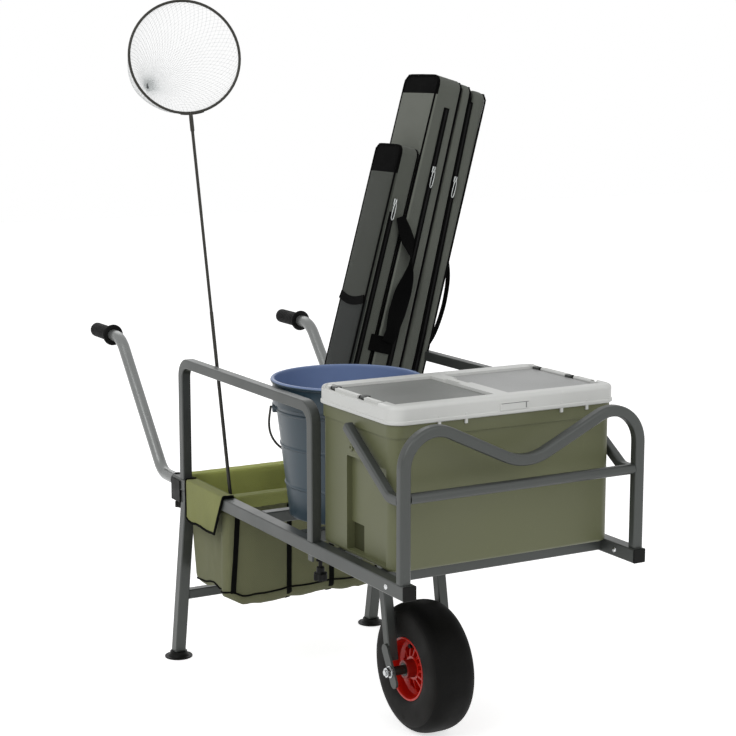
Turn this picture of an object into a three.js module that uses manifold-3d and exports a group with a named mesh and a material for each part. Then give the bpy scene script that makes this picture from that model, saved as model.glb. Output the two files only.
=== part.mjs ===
// A fishing trolley: a steel hand cart with one wheel and two feet, loaded with a cooler, a bucket,
// two rod cases and a landing net, and with a cloth bag slung between its rails.
// Millimetres. X runs across the trolley, Y from its front to its handles, Z up from the ground.
// Seen from the handles, the right side is towards -X and the left side towards +X.
import * as THREE from 'three';
import { mergeVertices } from 'three/addons/utils/BufferGeometryUtils.js';
import Module from 'manifold-3d';

// Clearances
const seatGap = 0.3; // between two faces that touch
const slideGap = 0.3; // round a tube that slides in another
const overrun = 4; // how far a cutter runs past the face that it cuts

// Rails and the tubes between them
const frameWidth = 550; // over the outer faces of the rails
const deckHeight = 444; // top of the rails above the ground
const railEnd = 1050; // rear end of the rails, from the front face of their caps
const railSize = 28;
const railSplit = 319; // where the front frame meets the rear frame
const sleeveReach = 110; // of the front frame inside the rear rail
const sleeveRoot = 30; // of the sleeve inside the front rail
const tubeWall = 1.5;
const tubeCorner = 2; // corner bevel of every square tube
const tubeCornerShare = 1.4; // most that the bevel may be, as a share of the wall
const capThickness = 3;
const capPlugLength = 14;
const crossSize = 25; // square tube between the rails
const frontDeckY = 120;
const rearDeckY = 290;
const forkTubeY = 448;
const bucketTubeY = 630;
const bagTubeY = 782;
const rearTubeY = 1035;
const lugY = 387; // small hook plate under each rear rail
const lugSize = 18;
const lugThickness = 4;

// Bent square tubes: hoops, guard and arms
const barSize = 22;
const hoopFrontY = 356; // front face of a side hoop
const hoopRearY = 1008; // rear face of a side hoop
const hoopRise = 281; // of the top of a hoop above the deck
const hoopBend = 34;
const guardY = 19;
const guardRise = 285.5; // of the guard's shoulders above the deck
const guardSlope = THREE.MathUtils.degToRad(27);
const guardShoulderBend = 67;
const guardDipBend = 196;
const guardBarRise = 158; // of the crossbar above the deck
const guardBarDiameter = 24;
const armRise = 153; // of an arm's level end above the deck
const armKneeY = 66;
const armEndY = 248;
const armEndRise = 270; // of its other end above the deck
const armBend = 30;

// Legs and feet
const legSize = 26;
const legTopY = 990;
const legFootY = 1065;
const braceSize = 22;
const braceHeight = 158;
const footDiameter = 65;
const footThickness = 3;
const footHeight = 14;
const footCollarDiameter = 40;
const footFlare = 4; // of the collar at the plate

// Fork, axle and wheel
const axleY = 378;
const axleHeight = 138;
const axleDiameter = 12;
const axleOverhang = 4; // of the axle past its nuts
const forkHalfWidth = 66; // from the middle to a fork leg
const forkFootY = 400;
const forkFootHeight = 157;
const dropoutWidth = 24;
const dropoutThickness = 5;
const dropoutReach = 24; // of the plate past the axle
const nutAcross = 19;
const nutFlange = 3; // of its washer past the flats
const nutHeight = 10;
const spacerDiameter = 20;
const tyreWidth = 100;
const tyreSectionHeight = 84; // of the whole oval that the tyre's section is cut from
const tyreWall = 6;
const tyreBulge = 2.5; // exponent of the oval
const beadAngle = THREE.MathUtils.degToRad(-45);
const rimWidth = 90;
const rimLip = 3;
const rimWall = 4;
const rimWell = 7; // depth of the drop centre
const rimWellWidth = 40;
const bossDiameter = 50;
const bossWidth = 60;
const spokeCount = 10;
const spokeThickness = 5;
const spokeRimWidth = 34;
const hubDiameter = 38;
const hubLength = 100;
const bearingDiameter = 28;
const bearingWidth = 8;
const bearingLand = 3; // inner step of the hub behind a bearing
const valveDiameter = 8;
const valveLength = 26;
const valveCapDiameter = 10;
const valveSpread = 24; // sideways, from the middle of the rim

// Knobs
const studDiameter = 8;
const knobDiameter = 30;
const knobHeight = 15;
const knobLobes = 6;
const knobLobeDepth = 3;
const knobEdge = 1.5;
const knobNeckDiameter = 16;
const knobNeckHeight = 12;
const knobDrop = 20; // from the rail down to the top of the neck
const jointKnobY = 347;
const handleKnobY = 1035;

// Handles
const handleDiameter = 28;
const handleWall = 3;
const handleInsertStart = 900;
const handleInsertOverlap = 40;
const handleKneeY = 1138;
const handleElbowY = 1388;
const handleHeight = 718;
const handleEndY = 1547;
const handleKneeBend = 60;
const handleElbowBend = 70;
const handleRailGap = 2; // between the wide part of the tube and the end of the rail
const gripWall = 3;
const gripStartY = 1438;
const gripEndWall = 5;
const gripFlangeDiameter = 52;
const gripFlangeThickness = 5;
const gripRibs = 4;
const gripRibDepth = 1.2;
const gripEdge = 1.5;
const gripSteps = 12;

// Cooler
const coolerSideGap = 4; // between the tub's walls and the arms beside them
const coolerFrontY = 82;
const coolerRearY = 366;
const coolerHeight = 280;
const coolerWall = 6;
const coolerCorner = 34;
const coolerCollarHeight = 25;
const coolerCollarProud = 3;
const recessFrontY = 104;
const recessRearY = 259;
const recessTop = 194; // above the cooler's foot
const recessFoot = 14;
const recessDepth = 5;
const drainWidth = 43;
const drainHeight = 40;
const drainSet = 1; // of the drain block behind the face of the tub
const lidOverhang = 7; // of the lid past the tub
const lidHeight = 36;
const lidCorner = 40;
const lidEdge = 5; // rounded top edge of the lid
const lidBar = 16; // half the bar between the hatches
const hatchInset = 16; // of a hatch's outer end from the face of the tub
const hatchFrontY = 103;
const hatchRearY = 332;
const hatchThickness = 7;
const hatchDrop = 5; // of a hatch below the top of the lid
const hatchLedge = 8;
const hatchGap = 0.8;
const hatchEndGap = 2; // between the outer end of a hatch and the lid, for the hatch to swing up
const hingePocket = 13; // width of the slot that holds the hatch hinge
const hingeDiameter = 9;
const hingeFingerWidth = 16;
const hingeFrontY = 136;
const hingeRearY = 348;
const hatchFingerYs = [209, 322];
const hingeClearance = 2; // under the hinge barrel
const hingePinDiameter = 4;
const notchWidth = 54;
const notchDepth = 9;
const notchY = 259;
const latchWidth = 66;
const latchX = 12;
const latchHeight = 16;
const latchThickness = 4;
const latchDrop = 12; // from the top of the lid to the latch
const lidTabPlaces = [-154, -95, 122, 182];
const lidTabWidth = 5;
const lidTabDrop = 8;

// Bucket
const bucketX = -92.5;
const bucketY = 543;
const bucketHeight = 291;
const bucketMouthDiameter = 320;
const bucketCollarHeight = 56;
const bucketCollarDiameter = 312;
const bucketTopDiameter = 298;
const bucketFootDiameter = 244;
const bucketWall = 2.5;
const bucketStep = 66; // height of the step ring above the foot
const bucketStepDepth = 2.5;
const bucketLip = 8;
const earAngle = THREE.MathUtils.degToRad(150.6);
const earHeight = 226; // above the foot of the bucket
const earDiameter = 24;
const earThickness = 10;
const bailDiameter = 5;
const bailDepth = 206;
const bailTilt = THREE.MathUtils.degToRad(47); // below level, at rest
const bailBulge = 22;
const bailSquareness = 0.85; // exponent of the bail's curve

// Rod cases
const caseLean = THREE.MathUtils.degToRad(15.4);
const caseFrontY = 798.5;
const caseCorner = 14;
const tallCaseThickness = 134;
const tallCaseDepth = 150;
const tallCaseLength = 1138;
const shortCaseThickness = 54;
const shortCaseDepth = 112;
const shortCaseLength = 999;
const caseEdge = 8;

// Landing net
const poleDiameter = 8;
const poleFootX = -232;
const poleFootY = 802.5;
const poleLeanShare = 0.1455; // lean to the rear, as a share of the height
const poleHoopGap = 0.6;
const ferruleDiameter = 14;
const ferruleLength = 40;
const netRingDiameter = 245;
const netRingTube = 7;
const netRingRise = 950; // of the middle of the ring above the deck
const netTurn = THREE.MathUtils.degToRad(13);
const netDepth = 95;
const netSag = 30;
const netThickness = 2;

// Bag
const bagClearance = 0.6; // between the bag and the rails
const bagCloth = 2;
const bagDepth = 235; // from the deck down to the foot of the bag
const bagRearFootY = 976;
const bagBottomBend = 4;
const bagHem = 26; // how far the front and rear hems hang over their tubes
const flapFrontY = 770;
const flapRearY = 970;
const flapDrop = 87;

// Values worked out from the sizes above
const railCentre = (frameWidth - railSize) / 2;
const railAxisZ = deckHeight - railSize / 2;
const railInner = frameWidth / 2 - railSize;
const barCentre = (frameWidth - barSize) / 2;
const barInner = frameWidth / 2 - barSize;
const hoopTop = deckHeight + hoopRise;
const guardTop = deckHeight + guardRise;
const guardBarHeight = deckHeight + guardBarRise;
const armHeight = deckHeight + armRise;
const armEndHeight = deckHeight + armEndRise;
const coolerLength = 2 * (barInner - coolerSideGap);
const hatchReach = coolerLength / 2 - hatchInset;
const netRingHeight = deckHeight + netRingRise;
const bagFoot = deckHeight - bagDepth;
const sides = [['right', -1], ['left', 1]];

// Materials
function paint(color, roughness, metalness) {
  return new THREE.MeshStandardMaterial({ color, roughness, metalness });
}
const framePaint = paint(0x5f6466, 0.42, 0.35);
const handleMetal = paint(0x7c8083, 0.3, 0.7);
const platedSteel = paint(0xc4c6c8, 0.22, 1);
const blackPlastic = paint(0x161719, 0.55, 0);
const blackRubber = paint(0x1a1b1c, 0.85, 0);
const redPlastic = paint(0xb3191a, 0.4, 0);
const greenPlastic = paint(0x5d6147, 0.5, 0);
const whitePlastic = paint(0xc9c9c9, 0.45, 0);
const greyPlastic = paint(0x8a8c8b, 0.5, 0);
const bluePlastic = paint(0x46566a, 0.5, 0);
const caseCloth = paint(0x4a4d4c, 0.85, 0);
const bagFabric = paint(0x6c7535, 0.9, 0);
const netMesh = paint(0xe8eaec, 0.7, 0);
const netMetal = paint(0x2b2d2f, 0.35, 0.6);

// Solids
const wasm = await Module();
wasm.setup();

function signedVolume(position, index) {
  const a = new THREE.Vector3();
  const b = new THREE.Vector3();
  const c = new THREE.Vector3();
  let sum = 0;
  for (let i = 0; i < index.length; i += 3) {
    a.fromBufferAttribute(position, index[i]);
    b.fromBufferAttribute(position, index[i + 1]);
    c.fromBufferAttribute(position, index[i + 2]);
    sum += a.dot(b.cross(c));
  }
  return sum / 6;
}

// A closed mesh with shared vertices, without the flat triangles at poles, with its faces pointing out.
function closed(geometry) {
  const bare = geometry.clone();
  bare.deleteAttribute('normal');
  bare.deleteAttribute('uv');
  const merged = mergeVertices(bare);
  const index = [];
  for (let i = 0; i < merged.index.count; i += 3) {
    const [a, b, c] = [0, 1, 2].map((k) => merged.index.getX(i + k));
    if (a !== b && b !== c && c !== a) index.push(a, b, c);
  }
  if (signedVolume(merged.attributes.position, index) < 0) index.reverse();
  merged.setIndex(index);
  return merged;
}

function toSolid(geometry) {
  const mesh = closed(geometry);
  return new wasm.Manifold(new wasm.Mesh({
    numProp: 3,
    vertProperties: new Float32Array(mesh.attributes.position.array),
    triVerts: new Uint32Array(mesh.index.array),
  }));
}

function toGeometry(solid) {
  const mesh = solid.getMesh();
  const geometry = new THREE.BufferGeometry();
  geometry.setAttribute('position', new THREE.BufferAttribute(mesh.vertProperties, mesh.numProp));
  geometry.setIndex(new THREE.BufferAttribute(mesh.triVerts, 1));
  return geometry;
}

function join(first, ...others) {
  return toGeometry(others.reduce((sum, other) => sum.add(toSolid(other)), toSolid(first)));
}

function cut(first, ...others) {
  return toGeometry(others.reduce((rest, other) => rest.subtract(toSolid(other)), toSolid(first)));
}

const trolley = new THREE.Group();

function addPiece(name, geometry, material, x = 0, y = 0, z = 0, parent = trolley) {
  const mesh = new THREE.Mesh(closed(geometry), material);
  mesh.name = name;
  mesh.position.set(x, y, z);
  parent.add(mesh);
  return mesh;
}

// A path of straight runs and round bends, with a station at each end of a run and along each bend.
class BentPath extends THREE.Curve {
  constructor(corners, bends = [], bendSteps = 4) {
    super();
    this.stations = [];
    const last = corners.length - 1;
    const headings = corners.slice(1).map((corner, i) => corner.clone().sub(corners[i]).normalize());
    this.addStation(corners[0], headings[0]);
    for (let i = 1; i < last; i += 1) this.addBend(corners[i], headings[i - 1], headings[i], bends[i - 1], bendSteps);
    this.addStation(corners[last], headings[last - 1]);
  }

  addStation(point, heading) {
    this.stations.push({ point: point.clone(), heading: heading.clone() });
  }

  addBend(corner, before, after, radius, steps) {
    const turn = before.angleTo(after);
    const inward = after.clone().addScaledVector(before, -before.dot(after)).normalize();
    const start = corner.clone().addScaledVector(before, -radius * Math.tan(turn / 2));
    for (let i = 0; i <= steps; i += 1) {
      const angle = (turn * i) / steps;
      const point = start.clone()
        .addScaledVector(before, radius * Math.sin(angle))
        .addScaledVector(inward, radius * (1 - Math.cos(angle)));
      const heading = before.clone().multiplyScalar(Math.cos(angle)).addScaledVector(inward, Math.sin(angle));
      this.addStation(point, heading);
    }
  }

  blend(share, key, target) {
    const place = share * (this.stations.length - 1);
    const i = Math.min(Math.floor(place), this.stations.length - 2);
    return target.lerpVectors(this.stations[i][key], this.stations[i + 1][key], place - i);
  }

  getPoint(share, target = new THREE.Vector3()) {
    return this.blend(share, 'point', target);
  }

  getPointAt(share, target) {
    return this.getPoint(share, target);
  }

  getTangent(share, target = new THREE.Vector3()) {
    return this.blend(share, 'heading', target).normalize();
  }

  getTangentAt(share, target) {
    return this.getTangent(share, target);
  }
}

// A closed outline with bevelled corners, centred on zero.
function squareOutline(outline, width, depth, bevel) {
  const x = width / 2;
  const y = depth / 2;
  outline.moveTo(x - bevel, -y);
  outline.lineTo(x, bevel - y);
  outline.lineTo(x, y - bevel);
  outline.lineTo(x - bevel, y);
  outline.lineTo(bevel - x, y);
  outline.lineTo(-x, y - bevel);
  outline.lineTo(-x, bevel - y);
  outline.lineTo(bevel - x, -y);
  outline.closePath();
  return outline;
}

function squareHole(width) {
  const half = width / 2;
  const hole = new THREE.Path();
  hole.moveTo(-half, -half);
  hole.lineTo(-half, half);
  hole.lineTo(half, half);
  hole.lineTo(half, -half);
  hole.closePath();
  return hole;
}

function squareSection(size, wall = tubeWall) {
  const bevel = Math.min(tubeCorner, tubeCornerShare * wall);
  const section = squareOutline(new THREE.Shape(), size, size, bevel);
  section.holes.push(squareHole(size - 2 * wall));
  return section;
}

function roundSection(diameter, bore = 0) {
  const section = new THREE.Shape();
  section.absarc(0, 0, diameter / 2, 0, 2 * Math.PI);
  if (bore > 0) section.holes.push(new THREE.Path().absarc(0, 0, bore / 2, 0, 2 * Math.PI, true));
  return section;
}

// A closed outline whose radius is given for each of its evenly spaced directions.
function polarOutline(count, radiusAt) {
  const points = Array.from({ length: count }, (_, i) => {
    const angle = (2 * Math.PI * i) / count;
    return new THREE.Vector2(Math.cos(angle), Math.sin(angle)).multiplyScalar(radiusAt(angle));
  });
  return new THREE.Shape(points);
}

// The width over the corners of a many-sided bore that a round of this diameter runs in.
function boreDiameter(diameter, boreSides, gap = slideGap) {
  return (diameter + 2 * gap) / Math.cos(Math.PI / boreSides);
}

function roundedOutline(width, depth, radius) {
  const x = width / 2 - radius;
  const y = depth / 2 - radius;
  const quarter = Math.PI / 2;
  const outline = new THREE.Shape();
  outline.absarc(x, y, radius, 0, quarter);
  outline.absarc(-x, y, radius, quarter, 2 * quarter);
  outline.absarc(-x, -y, radius, 2 * quarter, 3 * quarter);
  outline.absarc(x, -y, radius, 3 * quarter, 4 * quarter);
  outline.closePath();
  return outline;
}

function sweep(section, path, curveSegments = 8) {
  return new THREE.ExtrudeGeometry(section, {
    extrudePath: path,
    steps: path.stations.length - 1,
    curveSegments,
  });
}

function prism(outline, depth, curveSegments = 3, bevel = 0) {
  return new THREE.ExtrudeGeometry(outline, {
    depth: depth - 2 * bevel,
    bevelEnabled: bevel > 0,
    bevelSize: bevel,
    bevelThickness: bevel,
    bevelOffset: -bevel,
    bevelSegments: bevel > tubeCorner ? 2 : 1,
    curveSegments,
  }).translate(0, 0, bevel);
}

function point(x, y, z) {
  return new THREE.Vector3(x, y, z);
}

function block(x0, x1, y0, y1, z0, z1) {
  const box = new THREE.BoxGeometry(x1 - x0, y1 - y0, z1 - z0);
  return box.translate((x0 + x1) / 2, (y0 + y1) / 2, (z0 + z1) / 2);
}

function rod(diameter, length, sidesRound = 12) {
  return new THREE.CylinderGeometry(diameter / 2, diameter / 2, length, sidesRound);
}

// Turns a profile of [radius, height] pairs round the Z axis.
function turned(profile, steps) {
  const points = profile.map(([radius, height]) => new THREE.Vector2(radius, height));
  return new THREE.LatheGeometry(points, steps).rotateX(Math.PI / 2);
}

// The same, round the X axis, with the height towards +X.
function turnedAcross(profile, steps) {
  return turned(profile, steps).rotateY(Math.PI / 2);
}

function loop(profile) {
  return [...profile, profile[0]];
}

function tubeAlong(start, end, size) {
  return sweep(squareSection(size), new BentPath([start, end]));
}

// Leans an upright solid, so that it moves by the given run for each unit of height.
function lean(geometry, runY) {
  const shear = new THREE.Matrix4();
  shear.elements[9] = runY;
  return geometry.applyMatrix4(shear);
}

// Rails
const sleeveSize = railSize - 2 * tubeWall - 2 * slideGap;

function studHole(y) {
  return rod(studDiameter + 2 * slideGap, railSize, 8).rotateX(Math.PI / 2).translate(0, y, -railSize / 2);
}

function frontRail() {
  const start = capThickness + seatGap;
  const rail = tubeAlong(point(0, start, 0), point(0, railSplit, 0), railSize);
  const sleeve = tubeAlong(
    point(0, railSplit - sleeveRoot, 0),
    point(0, railSplit + sleeveReach, 0),
    sleeveSize,
  );
  const band = sweep(
    squareSection(railSize - tubeWall, tubeWall + slideGap),
    new BentPath([point(0, railSplit - sleeveRoot, 0), point(0, railSplit - tubeWall, 0)]),
  );
  return join(rail, band, sleeve);
}

function rearRail() {
  const start = railSplit + seatGap;
  const rail = tubeAlong(point(0, start, 0), point(0, railEnd, 0), railSize);
  const foot = -railSize / 2;
  const lug = block(
    -lugThickness / 2, lugThickness / 2,
    lugY - lugSize / 2, lugY + lugSize / 2,
    foot - lugSize, foot + tubeWall / 2,
  );
  return join(cut(rail, studHole(jointKnobY), studHole(handleKnobY)), lug);
}

function railCap() {
  const flange = prism(roundedOutline(railSize, railSize, tubeCorner), capThickness, 2, 1);
  const plug = sweep(
    squareSection(sleeveSize, 2 * tubeWall),
    new BentPath([point(0, 0, capThickness / 2), point(0, 0, capThickness + capPlugLength)]),
  );
  return join(flange, plug).rotateX(-Math.PI / 2);
}

for (const [side, sign] of sides) {
  addPiece(`front_rail_${side}`, frontRail(), framePaint, sign * railCentre, 0, railAxisZ);
  addPiece(`rear_rail_${side}`, rearRail(), framePaint, sign * railCentre, 0, railAxisZ);
  addPiece(`front_cap_${side}`, railCap(), blackPlastic, sign * railCentre, 0, railAxisZ);
}

// Tubes between the rails
function crossTube(name, y) {
  const end = railInner - seatGap;
  const tube = tubeAlong(point(-end, 0, 0), point(end, 0, 0), crossSize);
  addPiece(name, tube, framePaint, 0, y, deckHeight - crossSize / 2);
}

crossTube('deck_tube_front', frontDeckY);
crossTube('deck_tube_rear', rearDeckY);
crossTube('fork_crosstube', forkTubeY);
crossTube('bucket_crosstube', bucketTubeY);
crossTube('bag_crosstube', bagTubeY);
crossTube('rear_crosstube', rearTubeY);

// Side hoops
const deckSeat = deckHeight + seatGap;

function sideHoop() {
  const half = barSize / 2;
  const corners = [
    point(0, hoopFrontY + half, deckSeat),
    point(0, hoopFrontY + half, hoopTop - half),
    point(0, hoopRearY - half, hoopTop - half),
    point(0, hoopRearY - half, deckSeat),
  ];
  return sweep(squareSection(barSize), new BentPath(corners, [hoopBend, hoopBend], 3));
}

for (const [side, sign] of sides) {
  addPiece(`side_hoop_${side}`, sideHoop(), framePaint, sign * barCentre);
}

// Front guard, with two round shoulders and a dip between them
const shoulderTurn = (Math.PI / 2 + guardSlope) / 2;
const shoulderPeak = guardTop - barSize / 2 + guardShoulderBend * (Math.tan(shoulderTurn) - 1);
const guardDip = shoulderPeak - barCentre * Math.tan(guardSlope);

function frontGuard() {
  const corners = [
    point(-barCentre, 0, deckSeat),
    point(-barCentre, 0, shoulderPeak),
    point(0, 0, guardDip),
    point(barCentre, 0, shoulderPeak),
    point(barCentre, 0, deckSeat),
  ];
  const bends = [guardShoulderBend, guardDipBend, guardShoulderBend];
  return sweep(squareSection(barSize), new BentPath(corners, bends, 5));
}

function guardCrossbar() {
  const end = barInner - seatGap;
  const section = roundSection(guardBarDiameter, guardBarDiameter - 2 * tubeWall);
  return sweep(section, new BentPath([point(-end, 0, 0), point(end, 0, 0)]), 6);
}

function guardArm() {
  const corners = [
    point(0, guardY + barSize / 2 + seatGap, armHeight),
    point(0, armKneeY, armHeight),
    point(0, armEndY, armEndHeight),
  ];
  return sweep(squareSection(barSize), new BentPath(corners, [armBend], 3));
}

addPiece('front_guard', frontGuard(), framePaint, 0, guardY);
addPiece('guard_crossbar', guardCrossbar(), framePaint, 0, guardY, guardBarHeight);
for (const [side, sign] of sides) {
  addPiece(`guard_arm_${side}`, guardArm(), framePaint, sign * barCentre);
}

// Rear legs, leaning back to their feet
const legTop = deckHeight - railSize - seatGap;
const legFoot = footHeight + seatGap;
const legRun = (legFootY - legTopY) / (legFoot - legTop);

function leaningTube(size, height, run) {
  return lean(prism(squareSection(size), height, 1), run);
}

function foot() {
  const plate = footDiameter / 2;
  const collar = footCollarDiameter / 2;
  return turned([
    [0, 0],
    [plate, 0],
    [plate, footThickness],
    [collar + footFlare, footThickness],
    [collar, (footHeight + footThickness) / 2],
    [collar, footHeight],
    [0, footHeight],
  ], 16);
}

for (const [side, sign] of sides) {
  const leg = leaningTube(legSize, legTop - legFoot, legRun);
  addPiece(`leg_${side}`, leg, framePaint, sign * railCentre, legFootY, legFoot);
  addPiece(`foot_${side}`, foot(), blackPlastic, sign * railCentre, legFootY, 0);
}

const braceEnd = railCentre - legSize / 2 - seatGap;
const brace = tubeAlong(point(-braceEnd, 0, 0), point(braceEnd, 0, 0), braceSize);
addPiece('leg_brace', brace, framePaint, 0, legFootY + (braceHeight - legFoot) * legRun, braceHeight);

// Fork
const forkTop = deckHeight - crossSize - seatGap;
const forkRun = (forkTubeY - forkFootY) / (forkTop - forkFootHeight);
const dropoutInner = forkHalfWidth + barSize / 2 + seatGap;
const dropoutOuter = dropoutInner + dropoutThickness;

// A plate with round ends, from the fork leg past the axle, with its hole at the axle.
function dropout() {
  const rise = point(0, forkFootY - axleY + (barSize / 2) * forkRun, forkFootHeight + barSize - axleHeight);
  const slant = Math.atan2(rise.y, rise.z);
  const reach = rise.length();
  const half = dropoutWidth / 2;
  const outline = new THREE.Shape();
  outline.absarc(0, reach, half, 0, Math.PI);
  outline.absarc(0, -dropoutReach, half, Math.PI, 2 * Math.PI);
  outline.closePath();
  const bore = boreDiameter(axleDiameter, 10) / 2;
  outline.holes.push(new THREE.Path().absarc(0, 0, bore, 0, 2 * Math.PI, true));
  const plate = prism(outline, dropoutThickness, 5);
  return plate.rotateX(Math.PI / 2).rotateZ(Math.PI / 2).rotateX(-slant);
}

function nut() {
  const corner = nutAcross / Math.sqrt(3);
  const hexagon = polarOutline(6, () => corner);
  const washer = prism(roundSection(nutAcross + 2 * nutFlange), nutHeight / 5, 8);
  const body = prism(hexagon, nutHeight, 1);
  const hole = rod(boreDiameter(axleDiameter, 12), 3 * nutHeight, 12).rotateX(Math.PI / 2);
  return cut(join(washer, body), hole).rotateY(Math.PI / 2);
}

const spacerStart = hubLength / 2 + seatGap;
const nutStart = dropoutOuter + seatGap;
const axleEnd = nutStart + nutHeight + axleOverhang;
for (const [side, sign] of sides) {
  const leg = leaningTube(barSize, forkTop - forkFootHeight, forkRun);
  addPiece(`fork_leg_${side}`, leg, framePaint, sign * forkHalfWidth, forkFootY, forkFootHeight);
  const plateX = sign > 0 ? dropoutInner : -dropoutOuter;
  addPiece(`dropout_${side}`, dropout(), platedSteel, plateX, axleY, axleHeight);
  const holder = new THREE.Group();
  holder.rotation.z = sign > 0 ? 0 : Math.PI;
  holder.position.set(0, axleY, axleHeight);
  trolley.add(holder);
  addPiece(`axle_nut_${side}`, nut(), platedSteel, nutStart, 0, 0, holder);
  const spacerLength = dropoutInner - seatGap - spacerStart;
  const spacer = prism(roundSection(spacerDiameter, boreDiameter(axleDiameter, 12)), spacerLength, 6);
  addPiece(`axle_spacer_${side}`, spacer.rotateY(Math.PI / 2), platedSteel, spacerStart, 0, 0, holder);
}
addPiece('axle', rod(axleDiameter, 2 * axleEnd, 12).rotateZ(Math.PI / 2), platedSteel, 0, axleY, axleHeight);

// Wheel
const wheel = new THREE.Group();
wheel.position.set(0, axleY, axleHeight);
trolley.add(wheel);
const tyreCentre = axleHeight - tyreSectionHeight / 2;
const wheelSteps = 28;
const innerSteps = 6;

// A point on the tyre's oval, brought in by an inset.
function ovalPoint(angle, inset) {
  const power = 2 / tyreBulge;
  const cosine = Math.cos(angle);
  const sine = Math.sin(angle);
  const x = (tyreWidth / 2 - inset) * Math.sign(cosine) * Math.abs(cosine) ** power;
  const r = tyreCentre + (tyreSectionHeight / 2 - inset) * Math.sign(sine) * Math.abs(sine) ** power;
  return [r, x];
}

function ovalArc(inset, steps) {
  const sweepAngle = Math.PI - 2 * beadAngle;
  return Array.from({ length: steps + 1 }, (_, i) => ovalPoint(beadAngle + (sweepAngle * i) / steps, inset));
}

function tyre() {
  return turnedAcross(loop([...ovalArc(0, 12), ...ovalArc(tyreWall, innerSteps).reverse()]), wheelSteps);
}

function innerTube() {
  return turnedAcross(loop(ovalArc(tyreWall + seatGap, innerSteps)), wheelSteps);
}

const [beadRadius] = ovalPoint(beadAngle, 0);
const seatRadius = beadRadius - seatGap;
const rimHalf = rimWidth / 2;

function rimBarrel() {
  const lip = seatRadius + rimLip;
  const well = rimWellWidth / 2;
  const wellWall = well - rimWall;
  const outer = [
    [lip, rimHalf], [lip, rimHalf - rimLip], [seatRadius, rimHalf - rimLip],
    [seatRadius, well + rimWell / 2], [seatRadius - rimWell, well],
    [seatRadius - rimWell, -well], [seatRadius, -well - rimWell / 2],
    [seatRadius, rimLip - rimHalf], [lip, rimLip - rimHalf], [lip, -rimHalf],
  ];
  const inner = [
    [seatRadius - rimWall + rimLip, -rimHalf], [seatRadius - rimWall, 2 * rimLip - rimHalf],
    [seatRadius - rimWall, -well - rimWell / 2], [seatRadius - rimWell - rimWall, -wellWall],
    [seatRadius - rimWell - rimWall, wellWall], [seatRadius - rimWall, well + rimWell / 2],
    [seatRadius - rimWall, rimHalf - 2 * rimLip], [seatRadius - rimWall + rimLip, rimHalf],
  ];
  return turnedAcross(loop([...outer, ...inner]), wheelSteps);
}

// One spoke: a rib that is deep at the hub boss and shallower at the barrel.
function spoke(angle) {
  const inner = bossDiameter / 2 - rimWall / 2;
  const outer = seatRadius - rimWell - rimWall / 2;
  const outline = new THREE.Shape();
  outline.moveTo(-bossWidth / 2 + rimWall, inner);
  outline.lineTo(bossWidth / 2 - rimWall, inner);
  outline.lineTo(spokeRimWidth / 2, outer);
  outline.lineTo(-spokeRimWidth / 2, outer);
  outline.closePath();
  const rib = prism(outline, spokeThickness, 1).translate(0, 0, -spokeThickness / 2);
  return rib.rotateX(angle);
}

function rim() {
  const bore = hubDiameter / 2 + seatGap;
  const boss = bossDiameter / 2;
  const half = bossWidth / 2;
  const ring = turnedAcross(loop([
    [bore, -half], [boss, -half], [boss, half], [bore, half],
  ]), 20);
  const spokes = Array.from({ length: spokeCount }, (_, i) => spoke((2 * Math.PI * i) / spokeCount));
  return join(rimBarrel(), ring, ...spokes);
}

function hub() {
  const half = hubLength / 2;
  const land = half - bearingWidth - seatGap;
  const seat = bearingDiameter / 2 + seatGap;
  const bore = seat - bearingLand;
  return turnedAcross(loop([
    [hubDiameter / 2, -half], [hubDiameter / 2, half],
    [seat, half], [seat, land], [bore, land],
    [bore, -land], [seat, -land], [seat, -half],
  ]), 16);
}

function bearing() {
  const outer = bearingDiameter / 2;
  const bore = axleDiameter / 2 + slideGap;
  const race = (outer - bore) / 3;
  const groove = bearingWidth / 8;
  return turnedAcross(loop([
    [bore, 0], [bore + race, 0], [bore + race, groove], [outer - race, groove], [outer - race, 0],
    [outer, 0], [outer, bearingWidth], [bore, bearingWidth],
  ]), 16);
}

function valve() {
  const stem = rod(valveDiameter, valveLength, 8);
  const cap = rod(valveCapDiameter, valveLength / 2, 8).translate(0, -valveLength / 4, 0);
  return join(stem, cap).rotateZ(-Math.PI / 2);
}

addPiece('tyre', tyre(), blackRubber, 0, 0, 0, wheel);
addPiece('inner_tube', innerTube(), blackRubber, 0, 0, 0, wheel);
addPiece('rim', rim(), redPlastic, 0, 0, 0, wheel);
addPiece('hub', hub(), platedSteel, 0, 0, 0, wheel);
const wellInside = (seatRadius - rimWell - rimWall) * Math.cos(Math.PI / wheelSteps);
const valveRadius = wellInside - valveDiameter / 2 - seatGap;
addPiece('valve', valve(), blackRubber, -valveSpread, 0, valveRadius, wheel);
for (const [side, sign] of sides) {
  const holder = new THREE.Group();
  holder.rotation.z = sign > 0 ? 0 : Math.PI;
  wheel.add(holder);
  addPiece(`bearing_${side}`, bearing(), platedSteel, hubLength / 2 - bearingWidth, 0, 0, holder);
}

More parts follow.
